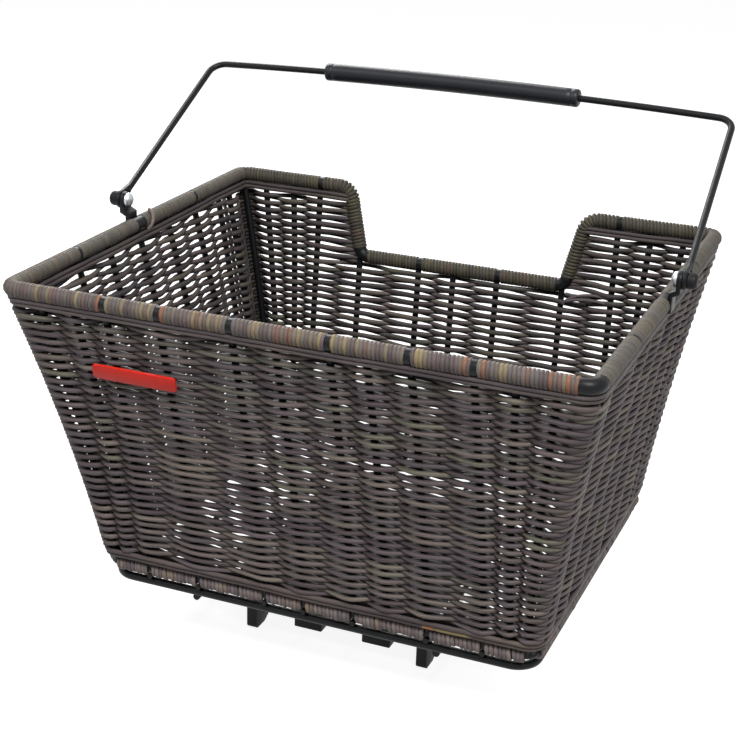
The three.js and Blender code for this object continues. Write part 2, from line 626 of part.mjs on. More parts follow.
// Woven corners: quarter bends of the same thickness, each round its post.
const cornerOutline = (sideX, sideY) => (z) => {
  const centre = at(sideX * (halfWidth(z) - CORNER_RADIUS),
    sideY < 0 ? frontY(z) + CORNER_RADIUS : backY(z) - CORNER_RADIUS, z);
  const arc = (radius) => Array.from({ length: CORNER_STEPS + 1 }, (_, k) => {
    const start = Math.asin(GAP / 2 / radius);
    const angle = mix(start, Math.PI / 2 - start, k / CORNER_STEPS);
    return at(centre.x + sideX * radius * Math.cos(angle), centre.y + sideY * radius * Math.sin(angle), z);
  });
  return [...arc(CORNER_RADIUS + thick), ...arc(CORNER_RADIUS - thick).reverse()];
};
SIDES.forEach((sideX) => SIDES.forEach((sideY) => {
  const name = `weave_corner_${sideY < 0 ? "front" : "back"}_${sideX < 0 ? "left" : "right"}`;
  add(name, panel(cornerOutline(sideX, sideY), WEAVE_LOW, WEAVE_HIGH), caneDark);
}));

// Handle tabs: bent strips outside the rim, with the pivot bolts through their heads.
const TAB_INNER = RIM_WIDTH / 2 + RIM_ROD / 2 + GAP;
const TAB_HEAD = TAB_INNER + TAB_JOG;
const EYE_INNER = TAB_HEAD + TAB_THICKNESS + GAP;
const NUT_INNER = EYE_INNER + EYE_THICKNESS + GAP;
const boltHole = BOLT_SHANK + 2 * GAP;
const mirrorX = (solid, side) => (side < 0 ? solid.mirror([1, 0, 0]) : solid);
const tabSide = new THREE.Shape([
  [TAB_INNER, -TAB_FOOT - PIVOT_RISE], [TAB_INNER + TAB_THICKNESS, -TAB_FOOT - PIVOT_RISE],
  [TAB_INNER + TAB_THICKNESS, -PIVOT_RISE / 2 - TAB_JOG / 2], [TAB_HEAD + TAB_THICKNESS, -PIVOT_RISE / 2],
  [TAB_HEAD + TAB_THICKNESS, TAB_WIDTH / 2], [TAB_HEAD, TAB_WIDTH / 2],
  [TAB_HEAD, -PIVOT_RISE / 2 + TAB_JOG / 2], [TAB_INNER, -PIVOT_RISE / 2],
].map(([x, z]) => new THREE.Vector2(x, z)));
const tabBlank = new THREE.ExtrudeGeometry(tabSide, { depth: TAB_WIDTH, bevelEnabled: false })
  .rotateX(Math.PI / 2).translate(0, TAB_WIDTH / 2, 0);
const tabHeadRound = join([
  solidOf(bar("x", TAB_INNER - GAP, NUT_INNER, [0, 0], TAB_WIDTH)),
  solidOf(box([TAB_INNER - GAP, NUT_INNER], [-TAB_WIDTH / 2, TAB_WIDTH / 2], [-2 * PIVOT_RISE, 0])),
]);
const tabSolid = solidOf(tabBlank).intersect(tabHeadRound)
  .subtract(solidOf(bar("x", TAB_INNER - GAP, NUT_INNER, [0, 0], boltHole)));

// Lathe profiles are drawn as radius and place along the bolt, then laid along X.
function turned(profile) {
  const points = profile.map(([r, x]) => new THREE.Vector2(r, x));
  return solidOf(new THREE.LatheGeometry(points, ROUND_SIDES).rotateZ(-Math.PI / 2));
}
const headFace = TAB_HEAD - GAP;
const boltEnd = NUT_INNER + NUT_LENGTH - NUT_WALL - GAP;
const domeAt = (share) => {
  const angle = (share * Math.PI) / 2;
  const rise = (BOLT_HEAD_HEIGHT - BOLT_HEAD_EDGE) * Math.cos(angle);
  return [(BOLT_HEAD / 2) * Math.sin(angle), headFace - BOLT_HEAD_EDGE - rise];
};
const boltSolid = turned([
  [0, headFace - BOLT_HEAD_HEIGHT], ...[0.25, 0.5, 0.75, 1].map(domeAt),
  [BOLT_HEAD / 2, headFace], [BOLT_SHANK / 2, headFace], [BOLT_SHANK / 2, boltEnd], [0, boltEnd],
]);
const nutEnd = NUT_INNER + NUT_LENGTH;
const nutSolid = turned([
  [boltHole / 2, NUT_INNER], [NUT_DIAMETER / 2, NUT_INNER], [NUT_DIAMETER / 2, nutEnd - NUT_CROWN.start],
  [NUT_DIAMETER / 2 - NUT_CROWN.shoulder, nutEnd - NUT_CROWN.shoulder],
  [NUT_DIAMETER / 2 - NUT_CROWN.end, nutEnd], [0, nutEnd],
  [0, nutEnd - NUT_WALL], [boltHole / 2, nutEnd - NUT_WALL], [boltHole / 2, NUT_INNER],
]);

const pivots = new THREE.Group();
pivots.position.set(0, PIVOT_Y, PIVOT_Z);
model.add(pivots);
SIDES.forEach((side) => {
  const name = side < 0 ? "left" : "right";
  add(`handle_tab_${name}`, geometryOf(mirrorX(tabSolid, side)), steelBlack, pivots);
  add(`pivot_bolt_${name}`, geometryOf(mirrorX(boltSolid, side)), steelBright, pivots);
  add(`cap_nut_${name}`, geometryOf(mirrorX(nutSolid, side)), nylonBlack, pivots);
});

// Bail handle, drawn upright with the pivots on the X axis, then leaned back.
const EYE_X = EYE_INNER + EYE_THICKNESS / 2;
const NECK_START = EYE_DIAMETER / 2 + NECK_ROOM;
const armX = (height) => mix(EYE_X, BAIL_TOP_WIDTH / 2, height / ARM_LENGTH);
const bowSteps = 8;
const bowHeight = (x) => ARM_LENGTH + BAIL_BOW * (1 - (2 * x / BAIL_TOP_WIDTH) ** 2);
const bowReach = BAIL_TOP_WIDTH / 2 - BOW_INSET;
const bowPoints = Array.from({ length: bowSteps + 1 }, (_, k) => {
  const x = mix(bowReach, -bowReach, k / bowSteps);
  return at(x, 0, bowHeight(x));
});
const bailCorners = [
  { point: at(armX(NECK_START), 0, NECK_START) },
  { point: at(BAIL_TOP_WIDTH / 2, 0, ARM_LENGTH), radius: BAIL_BEND },
  ...bowPoints.map((point) => ({ point })),
  { point: at(-BAIL_TOP_WIDTH / 2, 0, ARM_LENGTH), radius: BAIL_BEND },
  { point: at(-armX(NECK_START), 0, NECK_START) },
];
const bailPath = roundedPath(bailCorners, BEND_STEPS, false);
const eye = (side) => {
  const blank = join([
    solidOf(bar("x", EYE_INNER, EYE_INNER + EYE_THICKNESS, [0, 0], EYE_DIAMETER)),
    solidOf(box([EYE_INNER, EYE_INNER + EYE_THICKNESS], [-BAIL_WIRE / 2, BAIL_WIRE / 2], [0, EYE_NECK])),
  ]);
  const bore = solidOf(bar("x", EYE_INNER - PAST, NUT_INNER + PAST, [0, 0], boltHole));
  return mirrorX(blank.subtract(bore), side);
};
const handle = new THREE.Group();
handle.position.set(0, PIVOT_Y, PIVOT_Z);
handle.rotation.x = -THREE.MathUtils.degToRad(HANDLE_LEAN);
model.add(handle);
add("bail", geometryOf(join([solidOf(rod(bailPath, BAIL_WIRE)), eye(-1), eye(1)])), steelBlack, handle);

// Grip: a sleeve on the bail's bar.
function gripSweep(length, diameter, sides) {
  const points = Array.from({ length: bowSteps + 1 }, (_, k) => {
    const x = GRIP_SHIFT + mix(length / 2, -length / 2, k / bowSteps);
    return at(x, 0, bowHeight(x));
  });
  return solidOf(rod(points, diameter, { sides }));
}
const gripBore = BAIL_WIRE + 2 * RUNNING_GAP;
add("grip", geometryOf(gripSweep(GRIP_LENGTH, GRIP_DIAMETER, ROUND_SIDES / 2 + 4)
  .subtract(gripSweep(GRIP_LENGTH + 2 * PAST, gripBore, ROD_SIDES))), gripBlack, handle);

// Carrier adapter: a moulded plate under the floor wires, with hooks and the rails of the latch slide.
const PLATE_TOP = LONG_WIRE_Z - FLOOR_WIRE / 2 - GAP;
const PLATE_BOTTOM = PLATE_TOP - PLATE_THICKNESS;
const SLIDE_TOP = PLATE_BOTTOM - RUNNING_GAP;
const SLIDE_BOTTOM = SLIDE_TOP - SLIDE_THICKNESS;
const RAIL_INNER = SLIDE_WIDTH / 2 + RUNNING_GAP;
const RAIL_BOTTOM = SLIDE_BOTTOM - RUNNING_GAP - RAIL_LIP_HEIGHT;
const SPRING_Z = (SLIDE_TOP + SLIDE_BOTTOM) / 2;
const STOP_Y = SLIDE_BACK + SPRING_ROOM;

// A hook from the side: its mouth opens forward, its tip is flat where the basket rests.
function hook(x, y) {
  const roof = HOOK_LIP + HOOK_MOUTH;
  const outline = new THREE.Shape([
    [0, PLATE_BOTTOM + WELD], [0, HOOK_BEVEL], [HOOK_BEVEL, 0], [HOOK_TOE, 0], [HOOK_LENGTH, HOOK_TIP_RISE],
    [HOOK_LENGTH, HOOK_LIP], [HOOK_THROAT, HOOK_LIP], [HOOK_THROAT, roof],
    [HOOK_LENGTH - HOOK_BEVEL, roof], [HOOK_LENGTH + HOOK_BEVEL, PLATE_BOTTOM + WELD],
  ].map(([along, up]) => new THREE.Vector2(along, up)));
  const blank = new THREE.ExtrudeGeometry(outline, { depth: HOOK_WIDTH, bevelEnabled: false });
  const upright = new THREE.Matrix4().makeBasis(at(0, 1, 0), at(0, 0, 1), at(1, 0, 0));
  blank.applyMatrix4(upright).translate(x - HOOK_WIDTH / 2, y, 0);
  return solidOf(blank);
}
const plateHalf = PLATE_WIDTH / 2;
const plateOutline = roundedRectangle(PLATE_WIDTH, PLATE_BACK - PLATE_FRONT, PLATE_CORNER);
const plateBlank = new THREE.ExtrudeGeometry(plateOutline, {
  depth: PLATE_THICKNESS, bevelEnabled: false, curveSegments: PLATE_STEPS,
}).translate(0, (PLATE_FRONT + PLATE_BACK) / 2, PLATE_BOTTOM);
const rail = (side) => {
  const x = (inner, outer) => (side < 0 ? [-outer, -inner] : [inner, outer]);
  return join([
    solidOf(box(x(RAIL_INNER, RAIL_INNER + RAIL_WALL), [SLIDE_FRONT - WELD, RAIL_BACK],
      [RAIL_BOTTOM, PLATE_BOTTOM + WELD])),
    solidOf(box(x(RAIL_INNER - RAIL_LIP, RAIL_INNER + WELD), [SLIDE_FRONT - WELD, RAIL_BACK],
      [RAIL_BOTTOM, RAIL_BOTTOM + RAIL_LIP_HEIGHT])),
    solidOf(box(x(RAIL_INNER - RAIL_LIP, RAIL_INNER + RAIL_WALL),
      [SLIDE_FRONT - GAP - FRONT_STOP, SLIDE_FRONT - GAP], [RAIL_BOTTOM, PLATE_BOTTOM + WELD])),
  ]);
};
const screwPlaces = CLAMP_ROWS.flatMap((y) => SIDES.map((side) => [(side * SCREW_SPACING) / 2, y]));
const screwHoles = screwPlaces.map((place) => solidOf(
  bar("z", 0, RIM_Z, place, SCREW_SHANK + 2 * SCREW_HOLE_GAP, ROUND_SIDES / 2)));
const adapter = join([
  solidOf(plateBlank),
  ...HOOK_ROWS.flatMap((y) => SIDES.map((side) => hook((side * HOOK_SPACING) / 2, y))),
  rail(-1), rail(1),
  solidOf(box([-RAIL_INNER - WELD, RAIL_INNER + WELD], [STOP_Y, STOP_Y + STOP_WALL],
    [SLIDE_BOTTOM, PLATE_BOTTOM + WELD])),
  ...SIDES.map((side) => solidOf(bar("y", STOP_Y - PEG_LENGTH, STOP_Y + WELD,
    [(side * SPRING_SPACING) / 2, SPRING_Z], PEG_DIAMETER, ROD_SIDES))),
]);

// Screw holes go through the plate only.
const plateOnly = solidOf(box([-plateHalf, plateHalf], [PLATE_FRONT, PLATE_BACK],
  [PLATE_BOTTOM - PAST, PLATE_TOP + PAST]));
add("adapter_plate", geometryOf(cut(adapter, screwHoles.map((hole) => hole.intersect(plateOnly)))),
  nylonBlack);

// Latch slide with its two finger blocks, which close the mouths of the front hooks.
const block = (side) => solidOf(box(
  [(side * BLOCK_SPACING - BLOCK_WIDTH) / 2, (side * BLOCK_SPACING + BLOCK_WIDTH) / 2],
  [SLIDE_FRONT, SLIDE_FRONT + BLOCK_DEPTH], [BLOCK_TIP, SLIDE_BOTTOM + WELD]));
add("latch_slide", geometryOf(join([
  solidOf(box([-SLIDE_WIDTH / 2, SLIDE_WIDTH / 2], [SLIDE_FRONT, SLIDE_BACK], [SLIDE_BOTTOM, SLIDE_TOP])),
  block(-1), block(1),
])), nylonBlack);

// Return springs of the latch, one unbroken wire each.
const STEPS_PER_CURL = 8;
const springCore = (SPRING_DIAMETER - SPRING_WIRE) / 2;
const springLength = SPRING_ROOM - 2 * GAP - SPRING_WIRE;
const springPath = (x) => Array.from({ length: SPRING_CURLS * STEPS_PER_CURL + 1 }, (_, k) => {
  const angle = (2 * Math.PI * k) / STEPS_PER_CURL;
  const along = (springLength * k) / (SPRING_CURLS * STEPS_PER_CURL);
  return at(x + springCore * Math.cos(angle), SLIDE_BACK + GAP + SPRING_WIRE / 2 + along,
    SPRING_Z + springCore * Math.sin(angle));
});
function leastGap(points, wire) {
  let least = Infinity;
  points.forEach((p, i) => points.slice(i + STEPS_PER_CURL / 2).forEach((q) => {
    least = Math.min(least, p.distanceTo(q) - wire);
  }));
  return least;
}
SIDES.forEach((side) => {
  const path = springPath((side * SPRING_SPACING) / 2);
  const name = `latch_spring_${side < 0 ? "left" : "right"}`;
  console.log(`${name}: least gap to itself ${leastGap(path, SPRING_WIRE).toFixed(2)} mm`);
  add(name, rod(path, SPRING_WIRE, { sides: SPRING_SIDES }), steelBright);
});

// Clamp bars over the lengthwise floor wires, and the screws that pull them to the plate.
const CLAMP_Z = LONG_WIRE_Z + FLOOR_WIRE / 2 + GAP;
const CLAMP_TOP = CLAMP_Z + CLAMP_THICKNESS;
const clampOutline = roundedRectangle(CLAMP_LENGTH, CLAMP_WIDTH, CLAMP_CORNER);
CLAMP_ROWS.forEach((y, i) => {
  const clampBar = solidOf(new THREE.ExtrudeGeometry(clampOutline, {
    depth: CLAMP_THICKNESS, bevelEnabled: false, curveSegments: PLATE_STEPS,
  }).translate(0, y, CLAMP_Z));
  add(`clamp_bar_${i === 0 ? "front" : "back"}`, geometryOf(cut(clampBar, screwHoles)), steelBlack);
});
const [screwSeat, screwTop] = [CLAMP_TOP + GAP, CLAMP_TOP + GAP + SCREW_HEAD_HEIGHT];
const shankEnd = PLATE_BOTTOM + SCREW_INSET;
const screwSolid = turned([
  [0, shankEnd], [SCREW_SHANK / 2, shankEnd], [SCREW_SHANK / 2, screwSeat],
  [SCREW_HEAD / 2, screwSeat], [SCREW_HEAD / 2, screwTop - SCREW_HEAD_BEVEL.drop],
  [SCREW_HEAD / 2 - SCREW_HEAD_BEVEL.inset, screwTop], [0, screwTop],
]);
screwPlaces.forEach(([x, y], i) => {
  const screw = add(`clamp_screw_${i + 1}`, geometryOf(screwSolid), steelBright);
  screw.rotation.y = -Math.PI / 2;
  screw.position.set(x, y, 0);
});

export default model;
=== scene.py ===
"""Bicycle carrier basket of woven cane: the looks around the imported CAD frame.

Sizes in the classes are millimetres, and become metres where a mesh is made.
+X is the rider's right, +Y is forward towards the saddle, +Z is up.
"""

import logging
import math
from contextlib import contextmanager
from dataclasses import dataclass
from enum import Enum
from typing import Iterable, Iterator, Optional, Sequence

import bpy
import numpy as np
from mathutils import Matrix, Vector


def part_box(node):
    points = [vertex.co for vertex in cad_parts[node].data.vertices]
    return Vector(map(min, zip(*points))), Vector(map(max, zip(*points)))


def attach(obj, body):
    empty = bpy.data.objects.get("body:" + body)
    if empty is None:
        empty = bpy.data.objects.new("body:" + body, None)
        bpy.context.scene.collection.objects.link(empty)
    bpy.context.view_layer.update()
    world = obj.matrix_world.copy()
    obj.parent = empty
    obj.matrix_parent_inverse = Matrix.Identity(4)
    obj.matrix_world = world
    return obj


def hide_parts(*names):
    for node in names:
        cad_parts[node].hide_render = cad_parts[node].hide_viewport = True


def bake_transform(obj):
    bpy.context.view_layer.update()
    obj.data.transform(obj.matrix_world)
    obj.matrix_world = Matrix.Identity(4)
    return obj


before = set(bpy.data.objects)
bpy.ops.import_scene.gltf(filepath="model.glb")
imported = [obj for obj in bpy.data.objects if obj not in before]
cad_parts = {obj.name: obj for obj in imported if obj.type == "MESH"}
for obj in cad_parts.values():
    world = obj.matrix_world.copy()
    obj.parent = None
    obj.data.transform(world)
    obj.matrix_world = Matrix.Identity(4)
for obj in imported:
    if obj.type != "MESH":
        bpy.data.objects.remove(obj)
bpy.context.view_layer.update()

MM = 0.001
SAME_POINT = 1e-6
LOG = logging.getLogger("basket")
Vec = tuple[float, float, float]
Pair = tuple[float, float]
Palette = tuple[tuple[float, str], ...]
Spread = float | np.ndarray


# ---------------------------------------------------------------- materials


def linear(hex_colour: str) -> tuple[float, ...]:
    """Turns an sRGB hex colour, such as "4a4140", into linear red, green, blue and alpha."""
    values = [int(hex_colour[i : i + 2], 16) / 255 for i in (0, 2, 4)]
    return (*(v / 12.92 if v <= 0.04045 else ((v + 0.055) / 1.055) ** 2.4 for v in values), 1.0)


def add_node(
    tree: bpy.types.NodeTree, kind: str, settings: Optional[dict] = None, inputs: Optional[dict] = None
) -> bpy.types.Node:
    """Adds a shader node with its settings, socket values and links.

    Args:
        tree: the node tree that it goes into.
        kind: the node's type name after "ShaderNode".
        settings: attributes of the node.
        inputs: sockets by name or number, each a plain value, an output or a node, for its first output.

    Returns:
        The new node.
    """
    node = tree.nodes.new(f"ShaderNode{kind}")
    for name, value in (settings or {}).items():
        setattr(node, name, value)
    for key, value in (inputs or {}).items():
        source = value.outputs[0] if isinstance(value, bpy.types.Node) else value
        if isinstance(source, bpy.types.NodeSocket):
            tree.links.new(source, node.inputs[key])
        else:
            node.inputs[key].default_value = source
    return node


def add_ramp(tree: bpy.types.NodeTree, factor: bpy.types.Node, stops: Palette) -> bpy.types.Node:
    """Adds a colour ramp whose stops are places and sRGB hex colours in rising order."""
    node = add_node(tree, "ValToRGB", inputs={"Fac": factor})
    elements = node.color_ramp.elements
    while len(elements) < len(stops):
        elements.new(0.5)
    for element, (place, colour) in zip(elements, stops):
        element.position = place
        element.color = linear(colour)
    return node


@dataclass(frozen=True)
class Stuff:
    """A material and the slot that it fills."""

    material: bpy.types.Material
    slot: str


def new_material(name: str) -> tuple[bpy.types.Material, bpy.types.NodeTree]:
    """Starts a material, with an empty node tree."""
    material = bpy.data.materials.new(name)
    material.use_nodes = True
    material.node_tree.nodes.clear()
    return material, material.node_tree


def wire_shader(
    tree: bpy.types.NodeTree, colour: object, pattern: object, rough: Pair, relief: Pair, fixed: dict
) -> None:
    """Wires a Principled shader whose roughness and relief follow one pattern.

    Args:
        tree: the material's node tree.
        colour: the output or node that gives the base colour.
        pattern: the output or node that gives the height.
        rough: roughness where the pattern is lowest and highest.
        relief: strength of the relief, and its depth in mm.
        fixed: the shader's sockets that have one value all over.
    """
    span = add_node(tree, "MapRange", inputs={"Value": pattern, "To Min": rough[0], "To Max": rough[1]})
    strength, depth = relief
    bump = add_node(tree, "Bump", inputs={"Height": pattern, "Strength": strength, "Distance": depth * MM})
    live = {"Base Color": colour, "Roughness": span, "Normal": bump}
    shader = add_node(tree, "BsdfPrincipled", inputs={**live, **fixed})
    add_node(tree, "OutputMaterial", inputs={"Surface": shader})


class Grain(Enum):
    """The way along which a strand's streaks run, as noise cycles per metre on X, Y and Z."""

    LEVEL = (45.0, 45.0, 900.0)
    ROUND_X = (1300.0, 120.0, 120.0)
    ROUND_Y = (120.0, 1300.0, 120.0)
    ROUND_Z = (120.0, 120.0, 1300.0)


@dataclass(frozen=True)
class CaneFinish:
    """Extruded polyethylene cane, tumbled from several coloured batches.

    The strands are round, softly satin, and streaked lengthwise, so each one takes its colour
    from a palette by its own tone and wanders a little round it along its length.
    """

    name: str
    palette: Palette
    grain: Grain
    wander: float = 0.35
    roughness: float = 0.5
    slot: str = "cane_light"
    relief: float = 0.12
    gloss: float = 0.16
    # The near-black that the painted shade darkens the cane towards.
    painted_shade: str = "131512"

    def build(self) -> Stuff:
        """Makes the material from the tone attribute, the recess attribute that holds painted shade, and
        object coordinates.
        """
        material, tree = new_material(self.name)
        place = add_node(tree, "TexCoord").outputs["Object"]
        stretch = add_node(tree, "Mapping", inputs={"Vector": place, "Scale": self.grain.value})
        noise = {"Vector": stretch, "Scale": 1.0, "Detail": 3.0, "Roughness": 0.6}
        streaks = add_node(tree, "TexNoise", inputs=noise).outputs["Fac"]
        tone = add_node(tree, "Attribute", {"attribute_name": "tone"}).outputs["Fac"]
        centred = add_node(tree, "Math", {"operation": "SUBTRACT"}, {0: streaks, 1: 0.5})
        moved = add_node(tree, "Math", {"operation": "MULTIPLY_ADD"}, {0: centred, 1: self.wander, 2: tone})
        ramp = add_ramp(tree, moved, self.palette)
        # Painted shade: where a strand lies against a stake, and on its inward side, the colour is darkened
        # towards a near-black, as if in shade.
        recess = add_node(tree, "Attribute", {"attribute_name": "recess"}).outputs["Fac"]
        shaded_ramp = add_node(tree, "Mix", {"data_type": "RGBA"}, {0: recess, 6: ramp, 7: linear(self.painted_shade)})
        # The relief is hair-fine die lines, drawn about 0.4 mm apart so that they show.
        rough = (self.roughness - 0.08, self.roughness + 0.1)
        fixed = {"IOR": 1.5, "Specular IOR Level": self.gloss}
        wire_shader(tree, shaded_ramp.outputs[2], streaks, rough, (self.relief, 0.4), fixed)
        return Stuff(material, self.slot)


@dataclass(frozen=True)
class SolidFinish:
    """A smooth moulded, coated or plated surface with fine unevenness and a little wear."""

    name: str
    slot: str
    colour: str
    worn: str
    roughness: float
    spread: float
    cell_mm: float
    relief: float = 0.06
    metallic: float = 0.0
    ior: float = 1.5
    gloss: float = 0.25

    def build(self) -> Stuff:
        """Makes the material from noise on object coordinates."""
        material, tree = new_material(self.name)
        place = add_node(tree, "TexCoord").outputs["Object"]
        fine = {"Vector": place, "Scale": 1000 / self.cell_mm, "Detail": 2.0}
        broad = {"Vector": place, "Scale": 60.0, "Detail": 4.0, "Roughness": 0.65}
        grain, clouds = (add_node(tree, "TexNoise", inputs=noise).outputs["Fac"] for noise in (fine, broad))
        ramp = add_ramp(tree, clouds, ((0.35, self.colour), (0.75, self.worn)))
        rough = (self.roughness - self.spread, self.roughness + self.spread)
        fixed = {"Metallic": 1.0} if self.metallic else {"IOR": self.ior, "Specular IOR Level": self.gloss}
        wire_shader(tree, ramp, grain, rough, (self.relief, 0.15), fixed)
        return Stuff(material, self.slot)


WALL_PALETTE: Palette = (
    (0.0, "463c3e"), (0.2, "5e5456"), (0.38, "4d4648"), (0.52, "695e5c"),
    (0.66, "544c49"), (0.8, "746962"), (0.9, "656255"), (1.0, "4c4646"),
)
FRONT_PALETTE: Palette = (
    (0.0, "4d4346"), (0.14, "605851"), (0.26, "4d4447"), (0.4, "696056"), (0.5, "565153"), (0.62, "746954"),
    (0.7, "807253"), (0.78, "5b4e51"), (0.9, "675045"), (0.96, "815640"), (1.0, "644a45"),
)
SIDE_PALETTE: Palette = (
    (0.0, "4a4743"), (0.25, "57544e"), (0.5, "514c45"), (0.7, "5c564b"), (0.88, "4c4642"), (1.0, "5b4d42"),
)
BACK_PALETTE: Palette = (
    (0.0, "37342e"), (0.3, "423f38"), (0.5, "3b3830"), (0.7, "4c4738"), (0.88, "3e3934"), (1.0, "504137"),
)
# A greyer cane whose colours are also lightened, as painted light on the low wraps that the lamps from above
# barely reach.
BASE_PALETTE: Palette = (
    (0.0, "564e4e"), (0.25, "756a68"), (0.45, "5d5558"), (0.65, "7e736c"), (0.82, "685f5f"), (1.0, "826f5c"),
)
BORDER_PALETTE: Palette = (
    (0.0, "43393b"), (0.3, "504747"), (0.5, "5e534d"), (0.62, "786e53"),
    (0.72, "8f835c"), (0.8, "75654e"), (0.86, "a36c4e"), (1.0, "aa6a4a"),
)


class Stock:
    """The finishes on the shelf, each made once."""

    def __init__(self) -> None:
        """Makes every material."""
        self.wall_cane = CaneFinish(
            "extruded_cane_umber", WALL_PALETTE, Grain.LEVEL, slot="cane_dark"
        ).build()
        self.border_cane = CaneFinish(
            "extruded_cane_grey_brown", BORDER_PALETTE, Grain.LEVEL, 0.12, slot="cane_dark"
        ).build()
        self.front_cane = CaneFinish("extruded_cane_mixed", FRONT_PALETTE, Grain.ROUND_X, 0.16, 0.52).build()
        self.side_cane = CaneFinish("extruded_cane_greige", SIDE_PALETTE, Grain.ROUND_Y, 0.3, 0.52).build()
        self.back_cane = self.both_ways("olive", BACK_PALETTE, 0.54, Grain.ROUND_Z)
        self.base_cane = self.both_ways("brown", BASE_PALETTE, 0.56, Grain.ROUND_Y)
        # Powder coat on steel wire: black, a soft orange-peel gloss.
        self.coated_wire = SolidFinish(
            "powder_coated_steel", "steel_black", "0c0d0f", "131416", 0.42, 0.08, 0.9, 0.1, gloss=0.17
        ).build()
        # Zinc-plated steel, bright with faint grey clouds.
        self.zinc = SolidFinish(
            "zinc_plated_steel", "steel_bright", "ccd0d3", "aeb3b7", 0.42, 0.06, 0.6, metallic=1.0
        ).build()
        # Glass-filled nylon: black, dull, with the fine sparkle of a spark-eroded mould.
        self.nylon = SolidFinish(
            "glass_filled_nylon", "nylon_black", "0c0d0f", "131416", 0.55, 0.06, 0.7, 0.18, gloss=0.17
        ).build()
        # Dipped soft PVC: black, a soft even sheen.
        self.grip = SolidFinish(
            "dipped_soft_pvc", "grip_black", "0c0e13", "11141a", 0.44, 0.05, 2.5, 0.08, ior=1.54
        ).build()
        # Stove enamel on aluminium: signal red under a clear glossy film.
        self.enamel = SolidFinish(
            "stove_enamel_red", "enamel_red", "c8281c", "b8241a", 0.4, 0.03, 3.0, 0.03, gloss=0.2
        ).build()

    @staticmethod
    def both_ways(colour: str, palette: Palette, roughness: float, other: Grain) -> dict[Grain, Stuff]:
        """Makes one cane twice, for the rods along X and for those that run another way.

        Args:
            colour: the last word of its name.
            palette: its colours.
            roughness: its mean roughness.
            other: the grain for the other rods.

        Returns:
            The cane by its grain.
        """
        found = {}
        for grain in (Grain.ROUND_X, other):
            name = f"extruded_cane_{colour}_{grain.name.lower()}"
            found[grain] = CaneFinish(name, palette, grain, 0.3, roughness).build()
        return found


# ---------------------------------------------------------------- workbench


